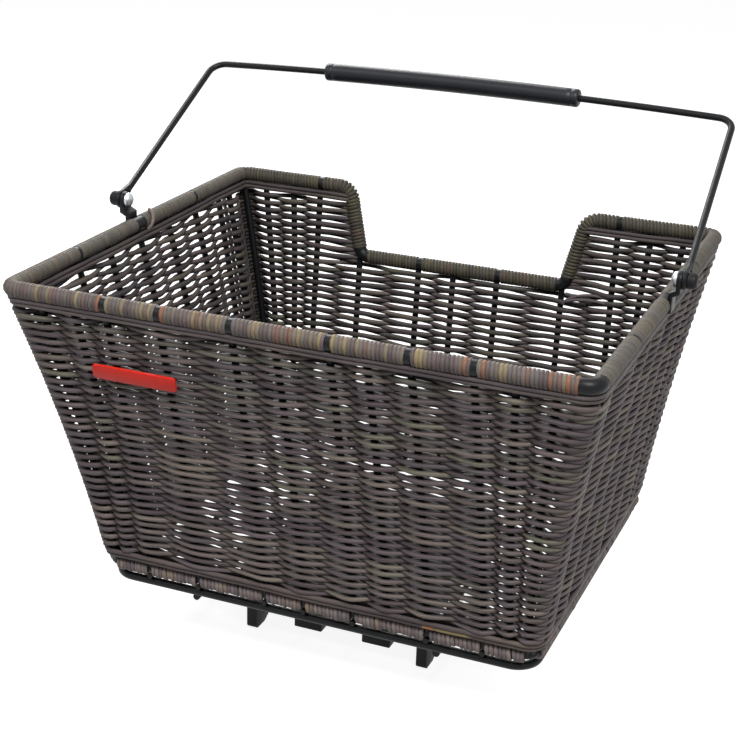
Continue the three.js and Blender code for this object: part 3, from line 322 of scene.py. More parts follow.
class Bench:
    """Hand tools: each makes or finishes one mesh object, in metres, at the origin."""

    @staticmethod
    def pick(*chosen: bpy.types.Object) -> None:
        """Selects these objects alone, or none, and makes the first active."""
        bpy.ops.object.select_all(action="DESELECT")
        for obj in chosen:
            obj.select_set(True)
        if chosen:
            bpy.context.view_layer.objects.active = chosen[0]

    @staticmethod
    def new(name: str, data: bpy.types.ID) -> bpy.types.Object:
        """Puts an object with this data in the scene, selected alone."""
        obj = bpy.data.objects.new(name, data)
        bpy.context.collection.objects.link(obj)
        Bench.pick(obj)
        return obj

    @staticmethod
    @contextmanager
    def edit() -> Iterator[None]:
        """Edit mode with all selected; on leaving it doubles are merged and faces turned outwards."""
        bpy.ops.object.mode_set(mode="EDIT")
        bpy.ops.mesh.select_all(action="SELECT")
        yield
        bpy.ops.mesh.select_all(action="SELECT")
        bpy.ops.mesh.remove_doubles(threshold=SAME_POINT)
        bpy.ops.mesh.normals_make_consistent(inside=False)
        bpy.ops.object.mode_set(mode="OBJECT")

    @staticmethod
    def block(low: Vec, high: Vec) -> bpy.types.Object:
        """A block between two corners in mm, to cut with."""
        Bench.pick()
        bpy.ops.mesh.primitive_cube_add(size=1.0)
        obj = bpy.context.object
        obj.location = [(a + b) / 2 * MM for a, b in zip(low, high)]
        obj.scale = [(b - a) * MM for a, b in zip(low, high)]
        bpy.ops.object.transform_apply(location=True, rotation=True, scale=True)
        return obj

    @staticmethod
    def bevel(obj: bpy.types.Object, radius: float, angle: float = 30.0) -> bpy.types.Object:
        """Rounds the edges that are sharper than an angle in degrees to a radius in mm."""
        Bench.pick(obj)
        edge = obj.modifiers.new("edges", "BEVEL")
        edge.width = radius * MM
        edge.segments = 2
        edge.limit_method = "ANGLE"
        edge.angle_limit = math.radians(angle)
        edge.harden_normals = False
        bpy.ops.object.modifier_apply(modifier=edge.name)
        return obj

    @staticmethod
    def smooth(obj: bpy.types.Object, angle: float = 40.0) -> bpy.types.Object:
        """Shades smooth over edges flatter than an angle in degrees."""
        Bench.pick(obj)
        bpy.ops.object.shade_smooth_by_angle(angle=math.radians(angle))
        return obj

    @staticmethod
    def prism(outline: Sequence[Pair], low: float, high: float, bevel: float) -> bpy.types.Object:
        """Pulls a flat outline along X.

        Args:
            outline: y and z of its corners in mm.
            low: where the prism starts along X, in mm.
            high: where it ends.
            bevel: edge radius in mm.

        Returns:
            The prism.
        """
        mesh = bpy.data.meshes.new("prism")
        mesh.from_pydata([(low * MM, y * MM, z * MM) for y, z in outline], [], [list(range(len(outline)))])
        obj = Bench.new("prism", mesh)
        with Bench.edit():
            bpy.ops.mesh.extrude_region_move(TRANSFORM_OT_translate={"value": ((high - low) * MM, 0, 0)})
        return Bench.bevel(obj, bevel)

    @staticmethod
    def turned(
        name: str, profile: Sequence[Pair], origin: Vec, side: int, steps: int = 40
    ) -> bpy.types.Object:
        """Turns a profile round an axis along X, as on a lathe.

        Args:
            name: the object's name.
            profile: radius and place along the axis in mm; it starts and ends on the axis.
            origin: the axis's start in mm.
            side: 1 if the axis leads to the right, -1 if to the left.
            steps: faces round.

        Returns:
            The turned body.
        """
        mesh = bpy.data.meshes.new(name)
        points = [(r * MM, 0.0, h * MM) for r, h in profile]
        mesh.from_pydata(points, [(i, i + 1) for i in range(len(points) - 1)], [])
        obj = Bench.new(name, mesh)
        with Bench.edit():
            bpy.ops.mesh.spin(steps=steps, angle=2 * math.pi, center=(0, 0, 0), axis=(0, 0, 1))
        turn = Vector((0, 0, 1)).rotation_difference(Vector((side, 0, 0))).to_matrix().to_4x4()
        mesh.transform(Matrix.Translation(Vector(origin) * MM) @ turn)
        return Bench.smooth(obj)

    @staticmethod
    def combine(
        body: bpy.types.Object, tools: Sequence[bpy.types.Object], operation: str = "UNION"
    ) -> bpy.types.Object:
        """Unites a body with other parts, or cuts them out of it, and throws them away.

        Args:
            body: the body.
            tools: the other parts.
            operation: "UNION" or "DIFFERENCE".

        Returns:
            The body.
        """
        for tool in tools:
            Bench.pick(body)
            step = body.modifiers.new("step", "BOOLEAN")
            step.operation = operation
            step.solver = "EXACT"
            step.object = tool
            bpy.ops.object.modifier_apply(modifier=step.name)
            bpy.data.objects.remove(tool)
        return body

    @staticmethod
    def finer(node: str, name: str, radius: float) -> bpy.types.Object:
        """Copies a CAD node's shape and breaks its sharp edges.

        Args:
            node: the CAD node's name.
            name: the name of the copy.
            radius: edge radius in mm; 0 leaves the edges sharp.

        Returns:
            The copy.
        """
        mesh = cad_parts[node].data.copy()
        mesh.name = name
        obj = Bench.new(name, mesh)
        bpy.ops.mesh.customdata_custom_splitnormals_clear()
        with Bench.edit():
            bpy.ops.mesh.remove_doubles(threshold=SAME_POINT)
            bpy.ops.mesh.dissolve_limited(angle_limit=math.radians(1))
        return Bench.smooth(Bench.bevel(obj, radius, 35) if radius else obj, 35)

    @staticmethod
    def join(name: str, *parts: bpy.types.Object) -> bpy.types.Object:
        """Joins parts into the first, without uniting their solids."""
        Bench.pick(*parts)
        bpy.ops.object.join()
        parts[0].name = name
        return parts[0]

    @staticmethod
    def rods(
        name: str, paths: Sequence[np.ndarray], diameter: float, rounds: int, closed: bool = False
    ) -> bpy.types.Object:
        """Bends round rods along paths.

        Args:
            name: the object's name.
            paths: each rod's points in mm.
            diameter: of the rods, in mm.
            rounds: how finely a rod is rounded.
            closed: whether the rods close on themselves.

        Returns:
            One mesh object of all the rods.
        """
        curve = bpy.data.curves.new(name, "CURVE")
        curve.dimensions = "3D"
        curve.twist_mode = "MINIMUM"
        curve.bevel_depth = diameter / 2 * MM
        curve.bevel_resolution = rounds
        curve.use_fill_caps = True
        for points in paths:
            spline = curve.splines.new("POLY")
            spline.points.add(len(points) - 1)
            spline.points.foreach_set("co", np.column_stack([points * MM, np.ones(len(points))]).ravel())
            spline.use_cyclic_u = closed
        Bench.new(name, curve)
        bpy.ops.object.convert(target="MESH")
        with Bench.edit():
            pass  # Leaving edit mode merges the seams of the caps.
        return Bench.smooth(bpy.context.object, 50)


def dress(obj: bpy.types.Object, stuff: Stuff, nodes: Iterable[str] = (), body: str = "basket") -> None:
    """Gives a finished piece its material and body, and hides the nodes that it stands for.

    Args:
        obj: the finished piece.
        stuff: its material and slot.
        nodes: CAD nodes that it replaces.
        body: the CAD body that it rides on.
    """
    obj.data.materials.clear()
    obj.data.materials.append(stuff.material)
    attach(obj, body)
    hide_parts(*nodes)
    LOG.info("%s: %d faces, on %s", obj.name, len(obj.data.polygons), body)


# ---------------------------------------------------------------- paths


def bent(corners: Sequence[tuple[Vec, float]], closed: bool, steps: int = 10) -> np.ndarray:
    """Rounds the corners of a path.

    Args:
        corners: each corner's point and its bend radius in mm.
        closed: whether the path closes on itself.
        steps: segments in each bend.

    Returns:
        The points of the path in mm.
    """
    points: list[np.ndarray] = []
    count = len(corners)
    for i, (corner, radius) in enumerate(corners):
        here = np.array(corner, float)
        if radius == 0 or (not closed and i in (0, count - 1)):
            points.append(here)
            continue
        into = here - np.array(corners[i - 1][0], float)
        out = np.array(corners[(i + 1) % count][0], float) - here
        into, out = into / np.linalg.norm(into), out / np.linalg.norm(out)
        turn = math.acos(float(np.clip(into @ out, -1, 1)))
        start = here - into * radius * math.tan(turn / 2)
        inward = out - into * (out @ into)
        inward /= np.linalg.norm(inward)
        centre = start + inward * radius
        for k in range(steps + 1):
            a = turn * k / steps
            points.append(centre - inward * radius * math.cos(a) + into * radius * math.sin(a))
    return np.array(points)


def reach(path: np.ndarray) -> np.ndarray:
    """Distance travelled along a path at each of its points."""
    return np.concatenate([[0.0], np.cumsum(np.linalg.norm(np.diff(path, axis=0), axis=1))])


def on_path(path: np.ndarray, distance: np.ndarray) -> np.ndarray:
    """The points of a path at some distances from its start."""
    return np.column_stack([np.interp(distance, reach(path), axis) for axis in path.T])


# ---------------------------------------------------------------- basket form


class Wall(Enum):
    """The four walls, in the order in which a strand goes round."""

    FRONT = 0
    RIGHT = 1
    BACK = 2
    LEFT = 3


@dataclass(frozen=True)
class Stake:
    """An upright wire and where it stands along its wall at the rim and at the base ring, in mm.

    With corner 0 the places are coordinates. With 1 or -1 they are how far it stands in from the
    corner at that end of the wall.
    """

    wall: Wall
    top: float
    bottom: float
    corner: int = 0


@dataclass(frozen=True)
class BasketForm:
    """The driving sizes of the basket, the same as in the CAD source."""

    rim_width: float = 400.0
    rim_depth: float = 344.6
    base_width: float = 319.8
    base_depth: float = 272.0
    base_shift: float = 17.8
    corner: float = 8.0
    wall_height: float = 217.4
    flare: float = 0.27
    frame_z: float = 45.5
    long_z: float = 50.8
    cross_z: float = 55.1
    ring_z: float = 56.1
    rod: float = 6.0
    stake: float = 5.0
    floor_wire: float = 4.0
    rim_wrap: float = 12.0
    dip_top: float = 200.0
    dip_bottom: float = 174.0
    dip_depth: float = 55.0
    dip_top_bend: float = 12.0
    dip_bottom_bend: float = 8.0
    frame_inset: float = 1.0
    frame_corner: float = 16.0
    runner_wire: float = 5.0
    runner_spacing: float = 183.0
    weld: float = 0.5
    pivot_y: float = -2.4
    long_planes: tuple[float, ...] = (-127.0, -88.0, -36.0, -6.0, 31.0, 85.0, 125.0)
    cross_planes: tuple[float, ...] = (-76.0, -34.0, 9.0, 52.0, 95.0)
    front_extra: float = 56.0
    side_lean: float = 12.0
    end_fans: tuple[Pair, ...] = ((22.0, 5.0), (48.0, 16.5))
    side_fan_front: Pair = (17.0, 15.0)
    side_fans_back: tuple[Pair, ...] = ((47.0, 42.0), (28.0, 26.0))

    @property
    def rim_z(self) -> float:
        """Height of the rim rod's centre."""
        return self.ring_z + self.wall_height

    @property
    def dip_z(self) -> float:
        """Height of the rim rod's centre in the dip."""
        return self.rim_z - self.dip_depth

    def rise(self, z: Spread) -> Spread:
        """How far up the wall a height is, from 0 at the base ring to 1 at the rim."""
        return (z - self.ring_z) / self.wall_height

    def share(self, z: Spread) -> Spread:
        """How much of their whole lean the flared walls have at a height."""
        rise = self.rise(z)
        return rise - self.flare * rise * (1 - rise)

    def half_width(self, z: Spread) -> Spread:
        """Half the width between the side walls at a height."""
        return (self.base_width + (self.rim_width - self.base_width) * self.share(z)) / 2

    def front_y(self, z: Spread) -> Spread:
        """Place of the front wall at a height."""
        low = self.base_shift - self.base_depth / 2
        return low + (-self.rim_depth / 2 - low) * self.share(z)

    def back_y(self, z: Spread) -> Spread:
        """Place of the back wall at a height."""
        low = self.base_shift + self.base_depth / 2
        return low + (self.rim_depth / 2 - low) * self.share(z)

    def wall_ends(self, wall: Wall, z: float) -> Pair:
        """Where a wall's straight part starts and ends, in the direction of travel."""
        wide = self.half_width(z) - self.corner
        front, back = self.front_y(z) + self.corner, self.back_y(z) - self.corner
        ends = {Wall.RIGHT: (front, back), Wall.LEFT: (-back, -front)}
        return ends.get(wall, (-wide, wide))

    def along(self, stake: Stake, z: float) -> float:
        """A stake's coordinate along its wall at a height: x in front and back, y at the sides."""
        place = stake.bottom + (stake.top - stake.bottom) * self.rise(z)
        if stake.corner == 0:
            return place
        if stake.wall in (Wall.FRONT, Wall.BACK):
            return stake.corner * (self.half_width(z) - place)
        return self.back_y(z) - place if stake.corner > 0 else self.front_y(z) + place

    def around(self, stake: Stake, z: float) -> float:
        """A stake's place round the basket at a height: 2 units a wall, the odd ones in the corners."""
        raw = float(self.along(stake, z))
        along = -raw if stake.wall in (Wall.BACK, Wall.LEFT) else raw
        start, end = self.wall_ends(stake.wall, z)
        base = 2.0 * stake.wall.value
        if along > end:
            return base + 1 + math.asin(min(1.0, (along - end) / self.corner)) / (math.pi / 2)
        if along < start:
            return (base - math.asin(min(1.0, (start - along) / self.corner)) / (math.pi / 2)) % 8
        return base + (along - start) / (end - start)

    def lengths(self, z: float) -> np.ndarray:
        """Distance travelled at each of the 9 joints between walls and corners."""
        arc = self.corner * math.pi / 2
        runs = []
        for wall in Wall:
            start, end = self.wall_ends(wall, z)
            runs += [end - start, arc]
        return np.concatenate([[0.0], np.cumsum(runs)])

    def travel(self, stake: Stake, z: float) -> float:
        """Distance travelled round the basket to a stake at a height."""
        return float(np.interp(self.around(stake, z), np.arange(9), self.lengths(z)))

    def place(self, u: np.ndarray, z: np.ndarray, out: Spread) -> np.ndarray:
        """Points on the walls.

        Args:
            u: places round the basket, as from around().
            z: heights in mm.
            out: how far outside the wall's middle each point lies, in mm.

        Returns:
            The points, one row each, in mm.
        """
        whole = np.floor(u)
        side, in_arc = np.divmod(whole.astype(int) % 8, 2)
        part = u - whole
        angle = (side + in_arc * part) * math.pi / 2 - math.pi / 2
        normal = np.stack([np.cos(angle), np.sin(angle)], -1)
        wide = self.half_width(z) - self.corner
        front, back = self.front_y(z) + self.corner, self.back_y(z) - self.corner
        signs = np.array([-1, 1, 1, -1])

        def centre(k: np.ndarray) -> np.ndarray:
            """Centre of the corner bend k."""
            return np.stack([signs[k % 4] * wide, np.where(np.isin(k % 4, (0, 1)), front, back)], -1)

        share = np.where(in_arc == 1, 1.0, part)[:, None]
        middle = centre(side) * (1 - share) + centre(side + 1) * share
        flat = middle + normal * np.broadcast_to(self.corner + out, len(u))[:, None]
        return np.column_stack([flat, z])

    def stakes(self) -> list[Stake]:
        """Every stake but the corner posts, in the order of travel."""
        found = [Stake(Wall.FRONT, x, x) for x in (*self.long_planes, self.front_extra)]
        found += [Stake(Wall.BACK, x, x) for x in self.long_planes]
        for wall in (Wall.FRONT, Wall.BACK):
            found += [Stake(wall, *fan, end) for fan in self.end_fans for end in (1, -1)]
        for wall in (Wall.RIGHT, Wall.LEFT):
            found += [Stake(wall, y - self.side_lean, y) for y in self.cross_planes]
            found.append(Stake(wall, *self.side_fan_front, -1))
            found += [Stake(wall, *fan, 1) for fan in self.side_fans_back]
        level = self.ring_z + self.wall_height / 2
        return sorted(found, key=lambda stake: self.around(stake, level))

    def under_dip(self, stake: Stake) -> bool:
        """Whether a stake ends at the low bar of the dip."""
        return stake.wall is Wall.BACK and stake.corner == 0 and abs(stake.top) < self.dip_top / 2

    def dip_edge(self, z: float) -> float:
        """Half the width of the dip at a height, on the rod's centre."""
        rise = (z - self.dip_z) / self.dip_depth
        return (self.dip_bottom + (self.dip_top - self.dip_bottom) * rise) / 2


# ---------------------------------------------------------------- cane


@dataclass
class Strand:
    """One length of cane: its points, radius and tone; a single value holds for the whole length.

    The lean is how far it lies outside (up to 1) or inside (down to -1) the wall's middle, and
    outward is the way its rings start.
    """

    path: np.ndarray
    radius: Spread
    tone: Spread
    closed: bool = False
    outward: Optional[np.ndarray] = None
    lean: Optional[Spread] = None

    def rings(self, sides: int) -> np.ndarray:
        """The rings of points round the strand, sides to a ring."""
        if self.closed:
            ahead = np.roll(self.path, -1, 0) - np.roll(self.path, 1, 0)
        else:
            ahead = np.gradient(self.path, axis=0)
        ahead /= np.linalg.norm(ahead, axis=1)[:, None]
        across = np.cross(ahead, [0.0, 0.0, 1.0]) if self.outward is None else self.outward
        across = across - ahead * np.sum(across * ahead, 1)[:, None]
        across /= np.linalg.norm(across, axis=1)[:, None]
        up = np.cross(across, ahead)
        angle = self.angles(sides)
        spoke = across[:, None] * np.cos(angle)[None, :, None] + up[:, None] * np.sin(angle)[None, :, None]
        return self.path[:, None] + spoke * np.broadcast_to(self.radius, len(self.path))[:, None, None]

    @staticmethod
    def angles(sides: int) -> np.ndarray:
        """Where the points of a ring stand round the strand, 0 being outward."""
        return 2 * math.pi * (np.arange(sides) + 0.5) / sides

    def recess(self, sides: int) -> np.ndarray:
        """How much painted shade each point of each ring takes, from 0 outside to 1 against a stake."""
        if self.lean is None:
            return np.zeros(len(self.path) * sides)
        outward = np.cos(self.angles(sides))[None]
        lean = np.broadcast_to(self.lean, len(self.path))[:, None]
        # Painted shade: the side of a strand that faces a stake as it passes, and the inward side of every
        # strand, are darkened as if in shade.
        hidden = np.clip(-1.5 * lean * outward - 0.1, 0.0, None)
        inside = np.clip(0.06 - 0.3 * (outward + lean), 0.0, None)
        return np.clip(hidden + inside, 0.0, 0.9).ravel()


def lay(name: str, strands: Sequence[Strand], sides: int = 6) -> bpy.types.Object:
    """Makes one mesh of strands, with tone and recess, the painted shade, as point attributes.

    Args:
        name: the object's name.
        strands: the strands.
        sides: faces round each strand.

    Returns:
        The object, in metres.
    """
    points, quads, caps = [], [], []
    layers: dict[str, list[np.ndarray]] = {"tone": [], "recess": []}
    first, here = 0, np.arange(sides)[None]
    after = (here + 1) % sides
    for strand in strands:
        rings = strand.rings(sides)
        count = len(rings)
        runs = np.arange(count if strand.closed else count - 1)
        low = first + runs[:, None] * sides
        high = first + ((runs + 1) % count)[:, None] * sides
        quads.append(np.stack([low + here, high + here, high + after, low + after], -1).reshape(-1, 4))
        if not strand.closed:
            last = first + (count - 1) * sides
            caps += [list(range(first, first + sides)), list(range(last + sides - 1, last - 1, -1))]
        points.append(rings.reshape(-1, 3) * MM)
        layers["tone"].append(np.repeat(np.broadcast_to(strand.tone, count), sides))
        layers["recess"].append(strand.recess(sides))
        first += count * sides
    mesh = bpy.data.meshes.new(name)
    mesh.from_pydata(np.concatenate(points).tolist(), [], np.concatenate(quads).tolist() + caps)
    for kind, values in layers.items():
        layer = mesh.attributes.new(kind, "FLOAT", "POINT")
        layer.data.foreach_set("value", np.concatenate(values).astype(np.float32))
    return Bench.smooth(Bench.new(name, mesh), 60)


@dataclass(frozen=True)
class Slack:
    """A place on a wall where two rows stand apart: a wall, a stretch along it, a height and an opening."""

    wall: Wall
    start: float
    end: float
    height: float
    opening: float
    reach: float = 7.0
    ramp: float = 12.0


@dataclass(frozen=True)
class Border:
    """A pair of straight strands outside and inside the stakes, with its height, tone and thickness."""

    z: float
    tone: float
    thick: float


@dataclass
class WovenWalls:
    """The walls: rows of round cane that pass the stakes inside and outside by turns."""

    form: BasketForm
    cane: float = 4.1
    nipped: float = 0.79
    pitch: float = 3.05
    first_row: float = 70.0
    last_row: float = 261.0
    bay_steps: int = 8
    sides: int = 8
    seed: int = 7
    # How much of a strand's way across a bay is straight, and not eased at the stakes.
    steady: float = 0.12
    # How far from the dip's edge a row ends, and within which distance it skips a stake.
    dip_gap: float = 1.5
    dip_clear: float = 8.0
    # Spread of the strands' thickness, how much thinner they are outside, and how much they ripple.
    thick_spread: float = 0.025
    squeeze: float = 0.08
    ripple: float = 0.02
    tone_drift: float = 0.22
    tones: Pair = (0.02, 0.98)
    # Unevenness in height that rows share: crests round the basket, phase for a mm of height, size in mm.
    shared_waves: tuple[Vec, ...] = (
        (3, 0.055, 0.34), (7, 0.09, 0.34), (13, -0.07, 0.28), (24, 0.16, 0.2), (41, 0.35, 0.14),
    )
    # Unevenness of each row alone: crests and size in mm.
    own_waves: tuple[Pair, ...] = ((17, 0.14), (41, 0.1))
    # Stretches in front where the lowest strand is orange, then yellow: x from and to, and tone.
    bright: tuple[Vec, ...] = ((84.0, 91.0, 0.88), (91.0, 117.0, 0.7))
    # The winding's end behind the left tab: distance from the rim rod, run along Y, turn in degrees,
    # and its radius and tone.
    tail_away: float = 7.2
    tail_run: Pair = (15.0, 5.0)
    tail_turn: Pair = (5.0, 135.0)
    tail: Pair = (1.4, 0.8)
    # The two ends of cane by the dip's right bend: x, z and the distance in from the back wall's
    # middle along each, and their radius and tone.
    strays: tuple[tuple[Vec, ...], ...] = (
        (
            (88.5, 206.0, 6.0), (94.0, 211.0, 6.6), (102.0, 214.6, 6.2),
            (113.0, 215.4, 5.0), (124.0, 214.2, 4.4),
        ),
        ((92.0, 209.0, 8.6), (101.0, 211.6, 8.4), (112.0, 212.0, 7.0), (122.0, 211.0, 6.4)),
    )
    stray: Pair = (1.25, 0.4)
    slacks: tuple[Slack, ...] = (
        Slack(Wall.FRONT, -18.0, 32.0, 194.5, 1.5),
        Slack(Wall.FRONT, 32.0, 104.0, 184.5, 1.3),
        Slack(Wall.FRONT, -64.0, 8.0, 147.5, 1.4),
        Slack(Wall.FRONT, 4.0, 34.0, 237.5, 1.1),
        Slack(Wall.FRONT, 4.0, 34.0, 221.5, 1.0),
        Slack(Wall.FRONT, 58.0, 92.0, 245.5, 1.0),
        Slack(Wall.FRONT, 142.0, 168.0, 193.5, 1.2),
        Slack(Wall.BACK, 80.0, 122.0, 214.0, 4.2, 9.0),
    )
    upper: tuple[Border, ...] = (Border(267.2, 0.3, 3.2), Border(264.2, 0.56, 3.2))
    lower: tuple[Border, ...] = (Border(66.7, 0.3, 3.4), Border(63.6, 0.3, 3.0))

    def __post_init__(self) -> None:
        """Sorts the stakes and draws the phases of the rows' unevenness."""
        self.table = self.form.stakes()
        self.rng = np.random.default_rng(self.seed)
        self.phases = self.rng.uniform(0, 2 * math.pi, 8)

    @property
    def swing(self) -> float:
        """How far a strand's centre lies from the wall's middle where it passes a stake."""
        return (self.form.stake + self.cane) / 2

    def closes(self, z: float) -> bool:
        """Whether a row at a height runs all round, below the dip."""
        return z < self.form.dip_z - self.form.rim_wrap / 2

    def wave(self, turn: np.ndarray, count: int) -> np.ndarray:
        """A wave with so many crests round the basket and a drawn phase."""
        return np.sin(count * turn + self.rng.uniform(0, 6.3))

    def sway(self, turn: np.ndarray, z: float) -> np.ndarray:
        """Unevenness in height that neighbouring rows share, in mm; turn is the angle round the basket."""
        phased = zip(self.shared_waves, self.phases)
        return sum(size * np.sin(count * turn + rate * z + phase) for (count, rate, size), phase in phased)

    def parting(self, points: np.ndarray, z: float) -> np.ndarray:
        """How far rows are pushed up or down beside the slack places, in mm."""
        form, (x, y) = self.form, points.T[:2]
        shift = np.zeros(len(points))
        on_wall = {Wall.FRONT: y < form.front_y(z) + form.corner, Wall.BACK: y > form.back_y(z) - form.corner}
        for slack in self.slacks:
            ramps = ((x - slack.start) / slack.ramp, (slack.end - x) / slack.ramp)
            ends = np.clip(ramps[0], 0, 1) * np.clip(ramps[1], 0, 1)
            away = z - slack.height
            push = math.copysign(0.5, away) * slack.opening * math.exp(-abs(away) / slack.reach)
            shift += on_wall[slack.wall] * ends * push
        return shift

    def stops(self, z: float, row: int) -> list[Pair]:
        """Where a row passes stakes and corner posts.

        Args:
            z: the row's height in mm.
            row: the row's number.

        Returns:
            The distance travelled and the offset at each stop.
        """
        form, joints = self.form, self.form.lengths(z)
        total = joints[-1]
        sides = (-self.swing, self.swing)
        stops = [(form.travel(stake, z), sides[(i + row) % 2]) for i, stake in enumerate(self.table)]
        stops += [(float((joints[k] + joints[k + 1]) / 2), self.swing) for k in (1, 3, 5, 7)]
        stops.sort()
        if self.closes(z):
            return [*stops, (stops[0][0] + total, stops[0][1])]
        edge = form.dip_edge(max(z, form.dip_z)) + self.dip_gap
        right, left = (form.travel(Stake(Wall.BACK, x, x), z) for x in (edge, -edge))
        after = [(s, o) for s, o in stops if s > left + self.dip_clear]
        before = [(s + total, o) for s, o in stops if s < right - self.dip_clear]
        return [(left, 0.0), *after, *before, (right + total, 0.0)]

    def track(self, z: float, row: int) -> tuple[np.ndarray, np.ndarray, np.ndarray]:
        """Samples a row's course.

        Args:
            z: the row's height in mm.
            row: the row's number.

        Returns:
            Place round the basket, offset, and the angle round the basket.
        """
        stops, joints = self.stops(z, row), self.form.lengths(z)
        shares = np.arange(self.bay_steps) / self.bay_steps
        # A strand is rounded where it passes a stake, and steep halfway between two.
        eased = self.steady * shares + (1 - self.steady) * shares * shares * (3 - 2 * shares)
        travel = [s0 + (s1 - s0) * shares for (s0, _), (s1, _) in zip(stops, stops[1:])]
        offset = [o0 + (o1 - o0) * eased for (_, o0), (_, o1) in zip(stops, stops[1:])]
        if not self.closes(z):
            travel.append([stops[-1][0]])
            offset.append([stops[-1][1]])
        s = np.concatenate(travel)
        u = np.interp(s % joints[-1], joints, np.arange(9))
        return u, np.concatenate(offset), 2 * math.pi * s / joints[-1]

    def row(self, z: float, row: int) -> Strand:
        """One row of weaving at a height in mm."""
        u, offset, turn = self.track(z, row)
        own = sum(size * self.wave(turn, count) for count, size in self.own_waves)
        level = np.full(len(u), z)
        lift = self.sway(turn, z) + own + self.parting(self.form.place(u, level, offset), z)
        path = self.form.place(u, level + lift, offset)
        lean = offset / self.swing
        size = self.cane / 2 * self.rng.normal(1.0, self.thick_spread)
        nip = self.nipped + (1 - self.nipped) * np.abs(offset) / self.swing
        radius = size * nip * (1 - self.squeeze * lean) * (1 + self.ripple * self.wave(turn, 11))
        tone = self.rng.uniform(0.05, 0.95) + self.tone_drift * self.wave(turn, 2)
        return Strand(path, radius, np.clip(tone, *self.tones), self.closes(z), lean=lean)

    def edging(self, border: Border, side: int) -> Strand:
        """The strand of a border that runs past all stakes outside (side 1) or inside (side -1)."""
        z = border.z
        u, _, turn = self.track(z, 0)
        path = self.form.place(u, z + 0.5 * self.sway(turn, z), side * (self.form.stake + border.thick) / 2)
        shade = border.tone + 0.12 * self.wave(turn, 5) + 0.1 * np.sin(9 * turn)
        tone = np.clip(shade, *self.tones)
        if side > 0 and border is self.lower[-1]:
            x, in_front = path[:, 0], path[:, 1] < self.form.front_y(path[:, 2])
            for start, end, bright in self.bright:
                tone = np.where(in_front & (x >= start) & (x < end), bright, tone)
        return Strand(path, border.thick / 2, tone, self.closes(z), lean=0.7 * side)

    def loose(self) -> list[Strand]:
        """The end of the winding behind the left handle tab, and two ends of cane by the dip's right bend."""
        steps = 24
        turn, y = np.radians(np.linspace(*self.tail_turn, steps)), np.linspace(*self.tail_run, steps)
        across, up = self.tail_away * np.sin(turn), self.tail_away * np.cos(turn)
        path = np.column_stack([across - self.form.rim_width / 2, y, self.form.rim_z + up])
        strands = [Strand(path, *self.tail)]
        share = np.linspace(0, 1, steps)
        for course in self.strays:
            t = np.linspace(0, 1, len(course))
            x, z, inward = (np.polyval(np.polyfit(t, values, 3), share) for values in np.array(course).T)
            strands.append(Strand(np.column_stack([x, self.form.back_y(z) - inward, z]), *self.stray))
        return strands

    def build(self, stock: Stock) -> None:
        """Makes the walls in bands, and the borders above and below them."""
        heights = np.arange(self.first_row, self.last_row, self.pitch)
        nodes = [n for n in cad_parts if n.startswith("weave_")]
        bands = ("lower", "middle", "upper")
        for band, part in zip(bands, np.array_split(np.arange(len(heights)), len(bands))):
            rows = [self.row(float(heights[i]), int(i)) for i in part]
            piece = lay(f"woven_rows_{band}", rows, self.sides)
            dress(piece, stock.wall_cane, nodes if band == bands[0] else ())
        for name, borders, cane in (
            ("upper", self.upper, stock.wall_cane),
            ("lower", self.lower, stock.border_cane),
        ):
            strands = [self.edging(border, side) for border in borders for side in (1, -1)]
            dress(lay(f"woven_border_{name}", strands, self.sides), cane)
        dress(lay("loose_strands", self.loose(), self.sides), stock.wall_cane)


# ---------------------------------------------------------------- wraps


@dataclass(frozen=True)
class Winding:
    """The rod that a winding covers, its outer diameter, pitch and how loosely it lies, in mm."""

    rod: str
    outer: float
    pitch: float
    slack: float


